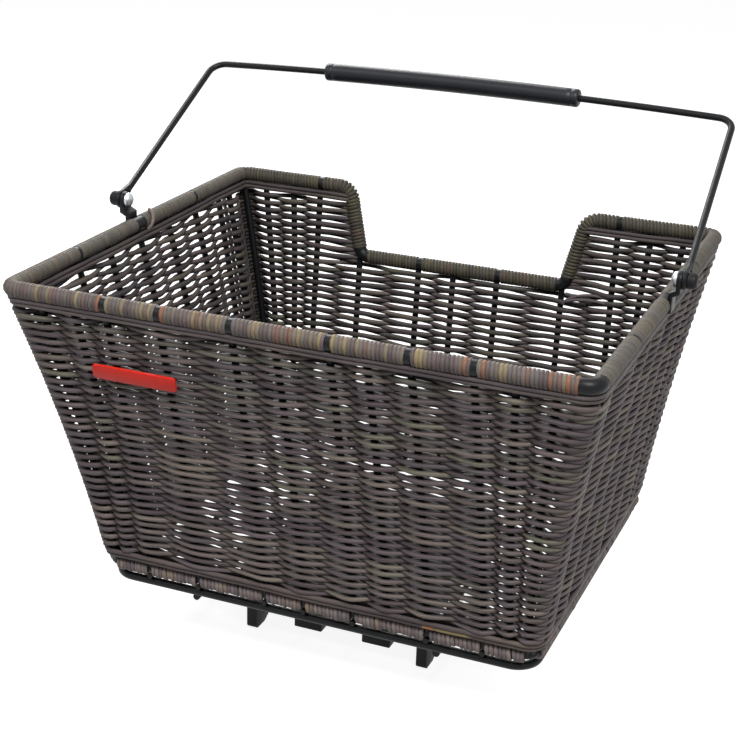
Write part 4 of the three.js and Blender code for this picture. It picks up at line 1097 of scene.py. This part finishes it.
@dataclass
class Wrapping:
    """Cane wound round the rods of the rim and the base ring, in stretches between the stakes."""

    form: BasketForm
    cane: float = 3.3
    rim: Winding = Winding("rim", 12.0, 2.75, 0.05)
    base: Winding = Winding("base", 11.5, 3.0, 0.32)
    groove: float = 3.8
    sleeve: float = 10.4
    sleeve_edge: float = 1.2
    sleeve_end: float = 1.0
    joint_lap: float = 1.2
    joint_inset: float = 0.2
    bend_room: float = 0.3
    uneven: float = 0.1
    probe: float = 0.4
    tones: Pair = (0.03, 0.97)
    overlap: float = 0.8
    bare: float = 2.0
    reach_round: float = 2.0
    round_steps: int = 14
    seed: int = 11
    tab_room: float = 6.3
    rim_gaps_x: tuple[float, ...] = (-126.0, -86.0, -35.0, 32.0, 84.0, 126.0)
    rim_gaps_y: tuple[float, ...] = (-88.0, 83.0)

    def __post_init__(self) -> None:
        """Seeds the unevenness of the turns, and starts the black sleeves between them."""
        self.rng = np.random.default_rng(self.seed)
        self.sleeves: list[Strand] = []

    def coil(self, path: np.ndarray, start: float, end: float, winding: Winding) -> Strand:
        """Winds one stretch, its first and last half turn square to the rod.

        Args:
            path: the rod's centre-line in mm.
            start: where the stretch starts along it.
            end: where it ends.
            winding: the winding's sizes.

        Returns:
            The wound strand.
        """
        turns = max(2, round((end - start) / winding.pitch) + 1)
        share = np.linspace(0, 1, turns * self.round_steps + 1)
        knots, at = np.arange(turns + 2), share * turns
        uneven = np.interp(at, knots, self.rng.normal(0, self.uneven + winding.slack, turns + 2))
        travel = np.clip((at - 0.5) / (turns - 1), 0, 1)
        s = start + (end - start) * travel + uneven * np.sin(math.pi * travel) ** 0.2
        ahead = on_path(path, s + self.probe) - on_path(path, s - self.probe)
        ahead /= np.linalg.norm(ahead, axis=1)[:, None]
        side = self.frames(ahead)
        up = np.cross(ahead, side)
        # Every coil starts at the underside, so that its tone changes where it isn't seen.
        angle = (2 * math.pi * at + math.pi / 2)[:, None]
        swell = np.interp(at, knots, self.rng.normal(0, winding.slack, turns + 2))
        spoke = side * np.cos(angle) + up * np.sin(angle)
        points = on_path(path, s) + spoke * ((winding.outer - self.cane) / 2 + swell)[:, None]
        tones = self.rng.uniform(*self.tones, turns + 2)
        return Strand(points, self.cane / 2, tones[np.minimum(at.astype(int), turns)], outward=spoke)

    def cover(self, path: np.ndarray, start: float, end: float) -> None:
        """Adds a black sleeve with rounded ends over the bare rod between two distances along a path."""
        half, edge = self.sleeve / 2, self.sleeve_edge
        turn = np.linspace(0, math.pi / 2, 5)
        inset, swell = self.sleeve_end * (1 - np.cos(turn)), half - edge + edge * np.sin(turn)
        middle = np.linspace(start + self.sleeve_end, end - self.sleeve_end, 12)[1:-1]
        s = np.concatenate([start + inset, middle, end - inset[::-1]])
        size = np.concatenate([swell, np.full(len(middle), half), swell[::-1]])
        self.sleeves.append(Strand(on_path(path, s), size, 0.0, outward=np.array([0.0, 0.0, 1.0])))

    @staticmethod
    def frames(ahead: np.ndarray) -> np.ndarray:
        """A direction across the path at each point, carried along it without twist."""
        first = np.cross(ahead[0], [0.0, 0.0, 1.0])
        if np.linalg.norm(first) < 0.2:
            first = np.cross(ahead[0], [0.0, 1.0, 0.0])
        across = [first / np.linalg.norm(first)]
        for t in ahead[1:]:
            v = across[-1] - t * (across[-1] @ t)
            across.append(v / np.linalg.norm(v))
        return np.array(across)

    def wind(self, winding: Winding, part: str, path: np.ndarray, gaps: Sequence[float], cane: Stuff) -> None:
        """Winds a whole side, stretch by stretch, and dresses it.

        Args:
            winding: the winding's rod and sizes.
            part: the name of the side.
            path: the rod's centre-line in mm.
            gaps: where stakes interrupt the winding, as distances along the path.
            cane: the finish.
        """
        length, half = float(reach(path)[-1]), self.groove / 2
        held = sorted(gap for gap in gaps if self.groove < gap < length - self.groove)
        starts = [0.0, *(gap + half for gap in held)]
        ends = [*(gap - half for gap in held), length]
        inset = self.cane / 3
        coils = [self.coil(path, start + inset, end - inset, winding) for start, end in zip(starts, ends)]
        if winding is self.rim:
            for gap in held:
                self.cover(path, gap - half - self.overlap, gap + half + self.overlap)
        dress(lay(f"{winding.rod}_cane_{part}", coils), cane, [f"{winding.rod}_wrap_{part}"])

    def half_bend(self, right: int, back: int, to_x: bool) -> np.ndarray:
        """Half a corner bend of the rim rod, from its middle to the straight rod.

        Args:
            right: 1 for the right-hand side, -1 for the left.
            back: 1 for the back, -1 for the front.
            to_x: whether it leads to the rod along X, or else to the one along Y.

        Returns:
            Its points in mm.
        """
        f = self.form
        turn = np.linspace(math.pi / 4, math.pi / 2 if to_x else 0.0, 6)
        x = right * (f.rim_width / 2 - f.corner + f.corner * np.cos(turn))
        y = back * (f.rim_depth / 2 - f.corner + f.corner * np.sin(turn))
        return np.column_stack([x, y, np.full(6, f.rim_z)])

    def build(self, stock: Stock) -> None:
        """Winds the rim, the dip and the base ring."""
        f = self.form
        z, bend = f.rim_z, f.corner * math.pi / 2
        end_x, end_y = f.rim_width / 2 - f.corner, f.rim_depth / 2 - f.corner
        front, wide = f.front_y(z), f.half_width(z)
        path = np.vstack([self.half_bend(-1, -1, True), [[end_x - self.bare, front, z]]])
        self.wind(self.rim, "front", path, [x + end_x + bend / 2 for x in self.rim_gaps_x], stock.front_cane)
        # The front right corner is bare rod under one sleeve.
        spare = 8.0
        ends = ((end_x - spare, front, z), 0.0), ((wide, spare - end_y, z), 0.0)
        corner = bent([ends[0], ((wide, front, z), f.corner), ends[1]], False, 12)
        lap = self.bare + self.overlap
        self.cover(corner, spare - lap, spare + lap + bend)
        before, after = f.pivot_y - self.tab_room, f.pivot_y + self.tab_room
        for side, name in ((-1, "left"), (1, "right")):
            x = side * wide
            under_tab = np.array([[x, before - self.overlap, z], [x, after + self.overlap, z]])
            self.cover(under_tab, 0.0, float(reach(under_tab)[-1]))
            if side < 0:
                path = np.vstack([self.half_bend(-1, -1, False), [[x, before, z]]])
                gaps = [bend / 2 + y + end_y for y in self.rim_gaps_y]
            else:
                path = np.array([[x, self.bare - end_y, z], [x, before, z]])
                gaps = [y + end_y - self.bare for y in self.rim_gaps_y]
            self.wind(self.rim, f"{name}_front", path, gaps, stock.side_cane)
            path = np.vstack([[[x, after, z]], self.half_bend(side, 1, False)[::-1]])
            self.wind(self.rim, f"{name}_back", path, [y - after for y in self.rim_gaps_y], stock.side_cane)
            self.wind_dip(side, name, stock)
        half = f.dip_bottom / 2 - self.trim(f.dip_bottom_bend)
        path = np.array([[x, f.back_y(f.dip_z), f.dip_z] for x in (-half, half)])
        gaps = [x + half for x in self.rim_gaps_x]
        self.wind(self.rim, "dip_bar", path, gaps, stock.back_cane[Grain.ROUND_X])
        dress(lay("rim_sleeves", self.sleeves, 20), stock.coated_wire)
        self.wind_base(stock)

    def trim(self, bend: float) -> float:
        """How much of a straight rod a bend of the dip takes up."""
        f = self.form
        turn = math.atan2(f.dip_depth, (f.dip_top - f.dip_bottom) / 2)
        return bend * math.tan(turn / 2) + self.bend_room

    def wind_dip(self, side: int, name: str, stock: Stock) -> None:
        """Winds one ear's rod and the side of the dip, and covers the bend at its foot.

        Args:
            side: 1 for the right-hand ear, -1 for the left.
            name: "right" or "left".
            stock: the finishes.
        """
        f = self.form
        top = (side * f.dip_top / 2, f.back_y(f.rim_z), f.rim_z)
        bottom = (side * f.dip_bottom / 2, f.back_y(f.dip_z), f.dip_z)
        start, trim = f.dip_top / 2 + self.trim(f.dip_top_bend), self.trim(f.dip_bottom_bend)
        path = np.vstack([self.half_bend(side, 1, True), [[side * start, *top[1:]]]])
        straight = f.corner * math.pi / 4 + f.rim_width / 2 - f.corner
        gaps = [straight - side * x for x in self.rim_gaps_x if side * x > start]
        self.wind(self.rim, f"ear_{name}", path, gaps, stock.back_cane[Grain.ROUND_X])
        down = np.array(bottom) - np.array(top)
        down /= np.linalg.norm(down)
        foot = np.array(bottom) - down * trim
        slope = bent([((side * start, *top[1:]), 0.0), (top, f.dip_top_bend), (tuple(foot), 0.0)], False, 12)
        self.wind(self.rim, f"dip_{name}", slope, [], stock.back_cane[Grain.ROUND_Z])
        lap, inset = self.joint_lap, self.joint_inset
        inner = (side * (f.dip_bottom / 2 - trim - lap), *bottom[1:])
        joint = bent([(tuple(foot - down * lap), 0.0), (bottom, f.dip_bottom_bend), (inner, 0.0)], False, 8)
        self.cover(joint, inset, float(reach(joint)[-1]) - inset)

    def wind_base(self, stock: Stock) -> None:
        """Winds the base ring, more loosely than the rim."""
        f, z = self.form, self.form.ring_z
        inset = f.corner - self.reach_round
        front, back, wide = f.front_y(z), f.back_y(z), f.half_width(z)
        end_x, low, high = f.base_width / 2 - inset, front + inset, back - inset
        gaps, cane = [x + end_x for x in f.long_planes], stock.base_cane[Grain.ROUND_X]
        for name, y in (("front", front), ("back", back)):
            self.wind(self.base, name, np.array([[-end_x, y, z], [end_x, y, z]]), gaps, cane)
        gaps, cane = [y - low for y in f.cross_planes], stock.base_cane[Grain.ROUND_Y]
        for name, x in (("left", -wide), ("right", wide)):
            self.wind(self.base, name, np.array([[x, low, z], [x, high, z]]), gaps, cane)


# ---------------------------------------------------------------- wire frame


@dataclass
class WireFrame:
    """The welded wire of the basket: rim rod, stakes, base ring, floor wires and base frame."""

    form: BasketForm

    @staticmethod
    def corners(wide: float, front: float, back: float, z: float, radius: float) -> list[tuple[Vec, float]]:
        """The four corners of a level loop from the front left, each with its bend radius."""
        plan = ((-wide, front), (wide, front), (wide, back), (-wide, back))
        return [((x, y, z), radius) for x, y in plan]

    def loop(self, z: float, inset: float, radius: float) -> np.ndarray:
        """A level loop inside the wall's middle, on the base ring's plan."""
        f = self.form
        wide, front, back = (size(f.ring_z) for size in (f.half_width, f.front_y, f.back_y))
        return bent(self.corners(wide - inset, front + inset, back - inset, z, radius), True)

    def rim(self) -> np.ndarray:
        """The rim rod's path, with its dip."""
        f = self.form
        z, wide, front, back = f.rim_z, f.rim_width / 2, f.front_y(f.rim_z), f.back_y(f.rim_z)
        dip = [
            ((f.dip_top / 2, back, z), f.dip_top_bend),
            ((f.dip_bottom / 2, f.back_y(f.dip_z), f.dip_z), f.dip_bottom_bend),
        ]
        mirrored = [((-x, y, level), radius) for (x, y, level), radius in dip[::-1]]
        first, *rest, last = self.corners(wide, front, back, z, f.corner)
        return bent([first, *rest, *dip, *mirrored, last], True)

    def uprights(self) -> list[np.ndarray]:
        """The stakes and corner posts, which follow the flare of the walls."""
        f = self.form
        paths = []
        corner_posts = (1.5, 3.5, 5.5, 7.5)
        for stake in [*f.stakes(), *corner_posts]:
            post = isinstance(stake, float)
            high = (f.dip_z if not post and f.under_dip(stake) else f.rim_z) - f.rod / 2 + f.weld
            heights = np.linspace(f.ring_z, high, 9)
            places = [stake if post else f.around(stake, z) for z in heights]
            paths.append(f.place(np.array(places), heights, 0.0))
        return paths

    def build(self, stock: Stock) -> None:
        """Bends and dresses the wires."""
        f = self.form
        front, back = f.front_y(f.ring_z), f.back_y(f.ring_z)
        dress(Bench.rods("rim_rod_bent", [self.rim()], f.rod, 6, True), stock.coated_wire, ["rim_rod"])
        ring = Bench.rods("ring", [self.loop(f.ring_z, 0, f.corner)], f.rod, 6, True)
        cage = Bench.join("stakes_welded", Bench.rods("uprights", self.uprights(), f.stake, 4), ring)
        dress(cage, stock.coated_wire, ["stake_cage"])
        loop = Bench.rods("loop", [self.loop(f.frame_z, f.frame_inset, f.frame_corner)], f.rod, 6, True)
        low = f.frame_z - (f.rod + f.runner_wire) / 2 + f.weld
        ends, half = (front + f.frame_inset, back - f.frame_inset), f.runner_spacing / 2
        runners = [np.array([[x, y, low] for y in ends]) for x in (-half, half)]
        base = Bench.join("base_frame_bent", loop, Bench.rods("runners", runners, f.runner_wire, 5))
        dress(base, stock.coated_wire, ["base_frame"])
        ends, side = (front - f.rod / 2, back + f.rod / 2), f.base_width / 2 - f.rod / 2
        wires = [np.array([[x, y, f.long_z] for y in ends]) for x in f.long_planes]
        wires += [np.array([[x, y, f.cross_z] for x in (-side, side)]) for y in f.cross_planes]
        nodes = [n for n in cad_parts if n.startswith("floor_wire_")]
        dress(Bench.rods("floor_wires_laid", wires, f.floor_wire, 4), stock.coated_wire, nodes)


# ---------------------------------------------------------------- handle


@dataclass
class Handle:
    """The bail with its grip, and the tabs, bolts and nuts that it turns on."""

    form: BasketForm
    wire: float = 5.0
    pivot_rise: float = 17.8
    arm: float = 164.2
    top_width: float = 418.0
    bow: float = 6.5
    bow_inset: float = 36.0
    bend: float = 12.0
    lean: float = 61.6
    eye_inner: float = 211.3
    eye_diameter: float = 13.5
    eye_thickness: float = 3.0
    eye_bore: float = 6.6
    bolt_start: float = 203.5
    bolt_head: float = 10.5
    head_height: float = 4.2
    shank: float = 6.0
    bolt_length: float = 15.6
    nut_near: float = 11.1
    nut_far: float = 17.5
    nut_diameter: float = 11.0
    nut_crown: float = 2.6
    nut_floor: float = 1.6
    neck_start: float = 8.25
    neck_end: float = 15.0
    grip_diameter: float = 13.5
    grip_length: float = 205.0
    grip_shift: float = -9.6
    grip_edge: float = 1.4
    grip_ring: float = 6.0
    ring_width: float = 1.0
    ring_depth: float = 0.35
    eye_edge: float = 0.6
    neck_inset: float = 0.9
    neck_low: float = 2.0
    head_rim: float = 1.0
    nut_edge: float = 0.3

    def bowed(self, x: Spread) -> Spread:
        """Height of the bail's bar above the pivots at a place across it."""
        return self.arm + self.bow * (1 - (2 * x / self.top_width) ** 2)

    def path(self) -> np.ndarray:
        """The bail's centre-line, drawn upright over the pivots."""
        half = self.top_width / 2
        eye_x = self.eye_inner + self.eye_thickness / 2
        neck_x = eye_x + (half - eye_x) * self.neck_start / self.arm
        flat = half - self.bow_inset
        bar = [((x, 0.0, self.bowed(x)), 0.0) for x in np.linspace(flat, -flat, 25)]
        arm = [((neck_x, 0.0, self.neck_start), 0.0), ((half, 0.0, self.arm), self.bend)]
        other = [((-x, y, z), radius) for (x, y, z), radius in arm[::-1]]
        return bent([*arm, *bar, *other], False, 12)

    def eye(self, side: int) -> list[bpy.types.Object]:
        """The flattened end of the wire: a disc and the neck that widens into it."""
        edge, thick, radius = self.eye_edge, self.eye_thickness, self.eye_diameter / 2
        near = [(0, 0), (radius - edge, 0), (radius, edge)]
        profile = [*near, *((r, thick - place) for r, place in near[::-1])]
        disc = Bench.turned("eye", profile, (side * self.eye_inner, 0, 0), side)
        low, high = sorted((side * self.eye_inner, side * (self.eye_inner + thick)))
        wide, slim, neck = radius - self.neck_inset, self.wire / 2, self.neck_low
        outline = [(-wide, neck), (wide, neck), (slim, self.neck_end), (-slim, self.neck_end)]
        return [disc, Bench.prism(outline, low, high, edge)]

    def bolt(self) -> list[Pair]:
        """The bolt's profile from the top of its domed head: radius and distance, in mm."""
        radius, crown, shank = self.bolt_head / 2, self.head_height - self.head_rim, self.shank / 2
        arc = np.linspace(0, math.pi / 2, 9)
        dome = [(radius * math.sin(a), crown * (1 - math.cos(a))) for a in arc]
        head, end = self.head_height, self.bolt_length
        return [*dome, (radius, head), (shank, head), (shank, end), (0, end)]

    def nut(self) -> list[Pair]:
        """The cap nut's profile, hollow over the bolt's end, measured from the bolt's head."""
        near, far, edge = self.nut_near, self.nut_far, self.nut_edge
        radius, bore, crown = self.nut_diameter / 2, self.eye_bore / 2, self.nut_crown
        hollow = [(0, far - self.nut_floor), (bore, far - self.nut_floor), (bore, near)]
        arc = np.linspace(0, math.pi / 2, 6)
        dome = [(radius - crown * (1 - math.cos(a)), far - crown * (1 - math.sin(a))) for a in arc]
        return [*hollow, (radius - edge, near), (radius, near + edge), *dome, (0, far)]

    def leaned(self, obj: bpy.types.Object) -> bpy.types.Object:
        """Puts a piece that was drawn upright over the pivots in its place, leaned back."""
        pivot = Vector((0, self.form.pivot_y, self.form.rim_z + self.pivot_rise)) * MM
        obj.data.transform(Matrix.Translation(pivot) @ Matrix.Rotation(math.radians(-self.lean), 4, "X"))
        return obj

    def build(self, stock: Stock) -> None:
        """Makes the bail and its grip, and dresses the fittings of the pivots."""
        wire = Bench.rods("bail_bent", [self.path()], self.wire, 6)
        bail = Bench.combine(wire, [*self.eye(-1), *self.eye(1)])
        start, through = self.eye_inner - self.eye_thickness / 2, 2 * self.eye_thickness
        radius = self.eye_bore / 2
        hole = [(0, 0), (radius, 0), (radius, through), (0, through)]
        bores = [Bench.turned("bore", hole, (side * start, 0, 0), side, 32) for side in (-1, 1)]
        Bench.smooth(Bench.combine(bail, bores, "DIFFERENCE"))
        dress(self.leaned(bail), stock.coated_wire, ["bail"], "handle")
        dress(self.leaned(self.sleeve()), stock.grip, ["grip"], "handle")
        for side, name in ((-1, "left"), (1, "right")):
            tab = f"handle_tab_{name}"
            dress(Bench.finer(tab, f"tab_{name}_bent", 0.5), stock.coated_wire, [tab])
            start = (side * self.bolt_start, self.form.pivot_y, self.form.rim_z + self.pivot_rise)
            bolt = Bench.turned(f"pivot_bolt_{name}_turned", self.bolt(), start, side)
            dress(bolt, stock.zinc, [f"pivot_bolt_{name}"])
            nut = Bench.turned(f"cap_nut_{name}_moulded", self.nut(), start, side)
            dress(nut, stock.nylon, [f"cap_nut_{name}"])

    def sleeve(self) -> bpy.types.Object:
        """The grip: a sleeve over the bar, with broken edges and a shallow ring near each end."""
        half, radius, edge = self.grip_length / 2, self.grip_diameter / 2, self.grip_edge
        ring, lip = half - self.grip_ring, self.ring_width / 2
        end = [(-half, radius - edge), (-half + 0.35 * edge, radius - 0.4 * edge), (-half + edge, radius)]
        end += [(-ring - lip, radius), (-ring, radius - self.ring_depth), (-ring + lip, radius)]
        middle = [(s, radius) for s in np.linspace(-ring + 4, ring - 4, 24)]
        along, size = np.array([*end, *middle, *((-s, r) for s, r in end[::-1])]).T
        x = self.grip_shift + along
        path = np.column_stack([x, np.zeros(len(x)), self.bowed(x)])
        tube = Strand(path, size, 0.0, outward=np.array([0.0, 1.0, 0.0]))
        return Bench.smooth(lay("grip_sleeve", [tube], 28), 50)


# ---------------------------------------------------------------- carrier adapter and badge


@dataclass
class Adapter:
    """The carrier adapter: hook plate, latch slide, springs, clamp bars and screws."""

    spring_x: float = 22.0
    spring_z: float = 39.6
    spring_diameter: float = 5.6
    spring_wire: float = 1.0
    spring_low: float = 6.8
    spring_high: float = 43.2
    curls: int = 6
    curl_steps: int = 20
    screw_top: float = 59.4
    cross_reach: float = 2.2
    cross_half: float = 0.5
    cross_depth: float = 1.6
    clear: float = 1.0

    def build(self, stock: Stock) -> None:
        """Makes and dresses every piece of the adapter."""
        dress(Bench.finer("adapter_plate", "hook_plate", 0.6), stock.nylon, ["adapter_plate"])
        dress(Bench.finer("latch_slide", "latch_slide_moulded", 0.8), stock.nylon, ["latch_slide"], "latch")
        for end in ("front", "back"):
            bar = f"clamp_bar_{end}"
            dress(Bench.finer(bar, f"clamp_strip_{end}", 0.5), stock.coated_wire, [bar])
        for i in range(1, 5):
            node = f"clamp_screw_{i}"
            screw = Bench.finer(node, f"cross_screw_{i}", 0.0)
            low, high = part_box(node)
            cutter = self.cross((low[0] + high[0]) / 2 / MM, (low[1] + high[1]) / 2 / MM)
            dress(Bench.smooth(Bench.combine(screw, [cutter], "DIFFERENCE"), 35), stock.zinc, [node])
        for side, name in ((-1, "left"), (1, "right")):
            self.spring(side, name, stock.zinc)

    def cross(self, x: float, y: float) -> bpy.types.Object:
        """The cross recess of a screw at a place in mm, as a tool that cuts it."""
        long, slim = self.cross_reach, self.cross_half
        low, high = self.screw_top - self.cross_depth, self.screw_top + self.clear
        plans = ((long, slim), (slim, long))
        one, other = (Bench.block((x - a, y - b, low), (x + a, y + b, high)) for a, b in plans)
        return Bench.combine(one, [other])

    def spring(self, side: int, name: str, zinc: Stuff) -> None:
        """Winds one return spring of the latch.

        Args:
            side: 1 for the right-hand spring, -1 for the left.
            name: "right" or "left".
            zinc: the finish.
        """
        count = self.curls * self.curl_steps + 1
        angle = 2 * math.pi * np.arange(count) / self.curl_steps
        core = (self.spring_diameter - self.spring_wire) / 2
        x = side * self.spring_x + core * np.cos(angle)
        y = np.linspace(self.spring_low, self.spring_high, count)
        path = np.column_stack([x, y, self.spring_z + core * np.sin(angle)])
        obj = Bench.rods(f"latch_spring_{name}_wound", [path], self.spring_wire, 3)
        obj.data.materials.append(zinc.material)
        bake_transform(obj)
        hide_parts(f"latch_spring_{name}")
        LOG.info("%s: %d faces, from basket to latch", obj.name, len(obj.data.polygons))


def mount_badge(stock: Stock) -> None:
    """The bare badge plate on the front wall, with rounded edges."""
    dress(Bench.finer("badge_plate", "badge_enamelled", 0.45), stock.enamel, ["badge_plate"])


# ---------------------------------------------------------------- studio


@dataclass(frozen=True)
class Lamp:
    """A square soft box: its place and size in metres, and its power in watts."""

    name: str
    place: Vec
    size: float
    power: float


@dataclass
class Studio:
    """The camera at the photograph's viewpoint, soft lamps and a white sweep."""

    azimuth: float = 21.89
    elevation: float = 21.18
    roll: float = 1.68
    distance: float = 1157.06
    across: float = -12.63
    rise: float = -76.27
    target_z: float = 273.5
    lens: float = 79.97
    floor_radius: float = 30.0
    daylight: float = 0.18
    floor_glow: float = 0.9
    aim: Vec = (0.0, 0.0, 0.15)
    lamps: tuple[Lamp, ...] = (
        Lamp("key", (0.6, -0.85, 1.6), 0.6, 35.0),
        Lamp("fill", (-1.1, -0.9, 1.6), 0.9, 12.0),
        Lamp("rear", (-0.8, 1.15, 1.2), 0.9, 24.0),
    )

    def camera(self) -> None:
        """Makes the camera and sets it as the scene's."""
        a, e, r = (math.radians(x) for x in (self.azimuth, self.elevation, self.roll))
        back = Vector((math.sin(a) * math.cos(e), -math.cos(a) * math.cos(e), math.sin(e)))
        right = (-back).cross(Vector((0, 0, 1))).normalized()
        up = right.cross(-back)
        right, up = math.cos(r) * right + math.sin(r) * up, -math.sin(r) * right + math.cos(r) * up
        eye = back * self.distance + right * self.across + up * self.rise + Vector((0, 0, self.target_z))
        data = bpy.data.cameras.new("camera")
        data.sensor_width = 36.0
        data.lens = self.lens
        data.clip_start, data.clip_end = 0.02, 100.0
        obj = Bench.new("camera", data)
        obj.matrix_world = Matrix.Translation(eye * MM) @ Matrix((right, up, back)).transposed().to_4x4()
        bpy.context.scene.camera = obj

    def light(self, lamp: Lamp) -> None:
        """Hangs one soft box and aims it at the basket."""
        data = bpy.data.lights.new(lamp.name, "AREA")
        data.size = lamp.size
        data.energy = lamp.power
        obj = Bench.new(lamp.name, data)
        obj.location = lamp.place
        obj.rotation_mode = "QUATERNION"
        obj.rotation_quaternion = (Vector(self.aim) - Vector(lamp.place)).to_track_quat("-Z", "Y")

    @staticmethod
    def seen(tree: bpy.types.NodeTree) -> bpy.types.Node:
        """A mask that is 1 for what is seen straight on, in gloss or through glass."""
        rays = add_node(tree, "LightPath").outputs
        clear = {0: rays["Is Camera Ray"], 1: rays["Is Transmission Ray"]}
        either = add_node(tree, "Math", {"operation": "MAXIMUM"}, clear)
        return add_node(tree, "Math", {"operation": "MAXIMUM"}, {0: either, 1: rays["Is Glossy Ray"]})

    def world(self) -> None:
        """White where it is seen, also in gloss, and a level grey light elsewhere."""
        world = bpy.data.worlds.new("studio")
        bpy.context.scene.world = world
        world.use_nodes = True
        tree = world.node_tree
        tree.nodes.clear()
        light = add_node(tree, "Background", inputs={"Color": linear("f4f6fa"), "Strength": self.daylight})
        white = add_node(tree, "Background", inputs={"Color": (1, 1, 1, 1), "Strength": 1.0})
        both = add_node(tree, "MixShader", inputs={0: self.seen(tree), 1: light, 2: white})
        add_node(tree, "OutputWorld", inputs={"Surface": both})

    def floor(self) -> None:
        """A white floor that keeps the basket's shadow, and is open from below."""
        Bench.pick()
        bpy.ops.mesh.primitive_circle_add(vertices=96, radius=self.floor_radius, fill_type="NGON")
        floor = bpy.context.object
        floor.name = "studio_floor"
        material, tree = new_material("matt_white_sweep")
        paint = add_node(tree, "BsdfDiffuse", inputs={"Color": linear("a4a4a4")})
        # A little light of its own, for the camera alone, takes the open floor to white.
        glow = add_node(tree, "Math", {"operation": "MULTIPLY"}, {0: self.seen(tree), 1: self.floor_glow})
        own = add_node(tree, "Emission", inputs={"Color": (1, 1, 1, 1), "Strength": glow})
        lit = add_node(tree, "AddShader", inputs={0: paint, 1: own})
        under = add_node(tree, "NewGeometry").outputs["Backfacing"]
        clear = add_node(tree, "BsdfTransparent")
        both = add_node(tree, "MixShader", inputs={0: under, 1: lit, 2: clear})
        add_node(tree, "OutputMaterial", inputs={"Surface": both})
        floor.data.materials.append(material)

    def build(self) -> None:
        """Sets up the whole studio."""
        bpy.context.scene.view_settings.view_transform = "Standard"
        self.camera()
        self.world()
        self.floor()
        for lamp in self.lamps:
            self.light(lamp)


def main() -> None:
    """Builds the basket piece by piece."""
    logging.basicConfig(level=logging.INFO, format="%(message)s")
    Studio().build()
    stock, form = Stock(), BasketForm()
    for part in (WireFrame(form), Wrapping(form), WovenWalls(form), Handle(form), Adapter()):
        part.build(stock)
    mount_badge(stock)
    Bench.pick()


if __name__ == "__main__":
    main()
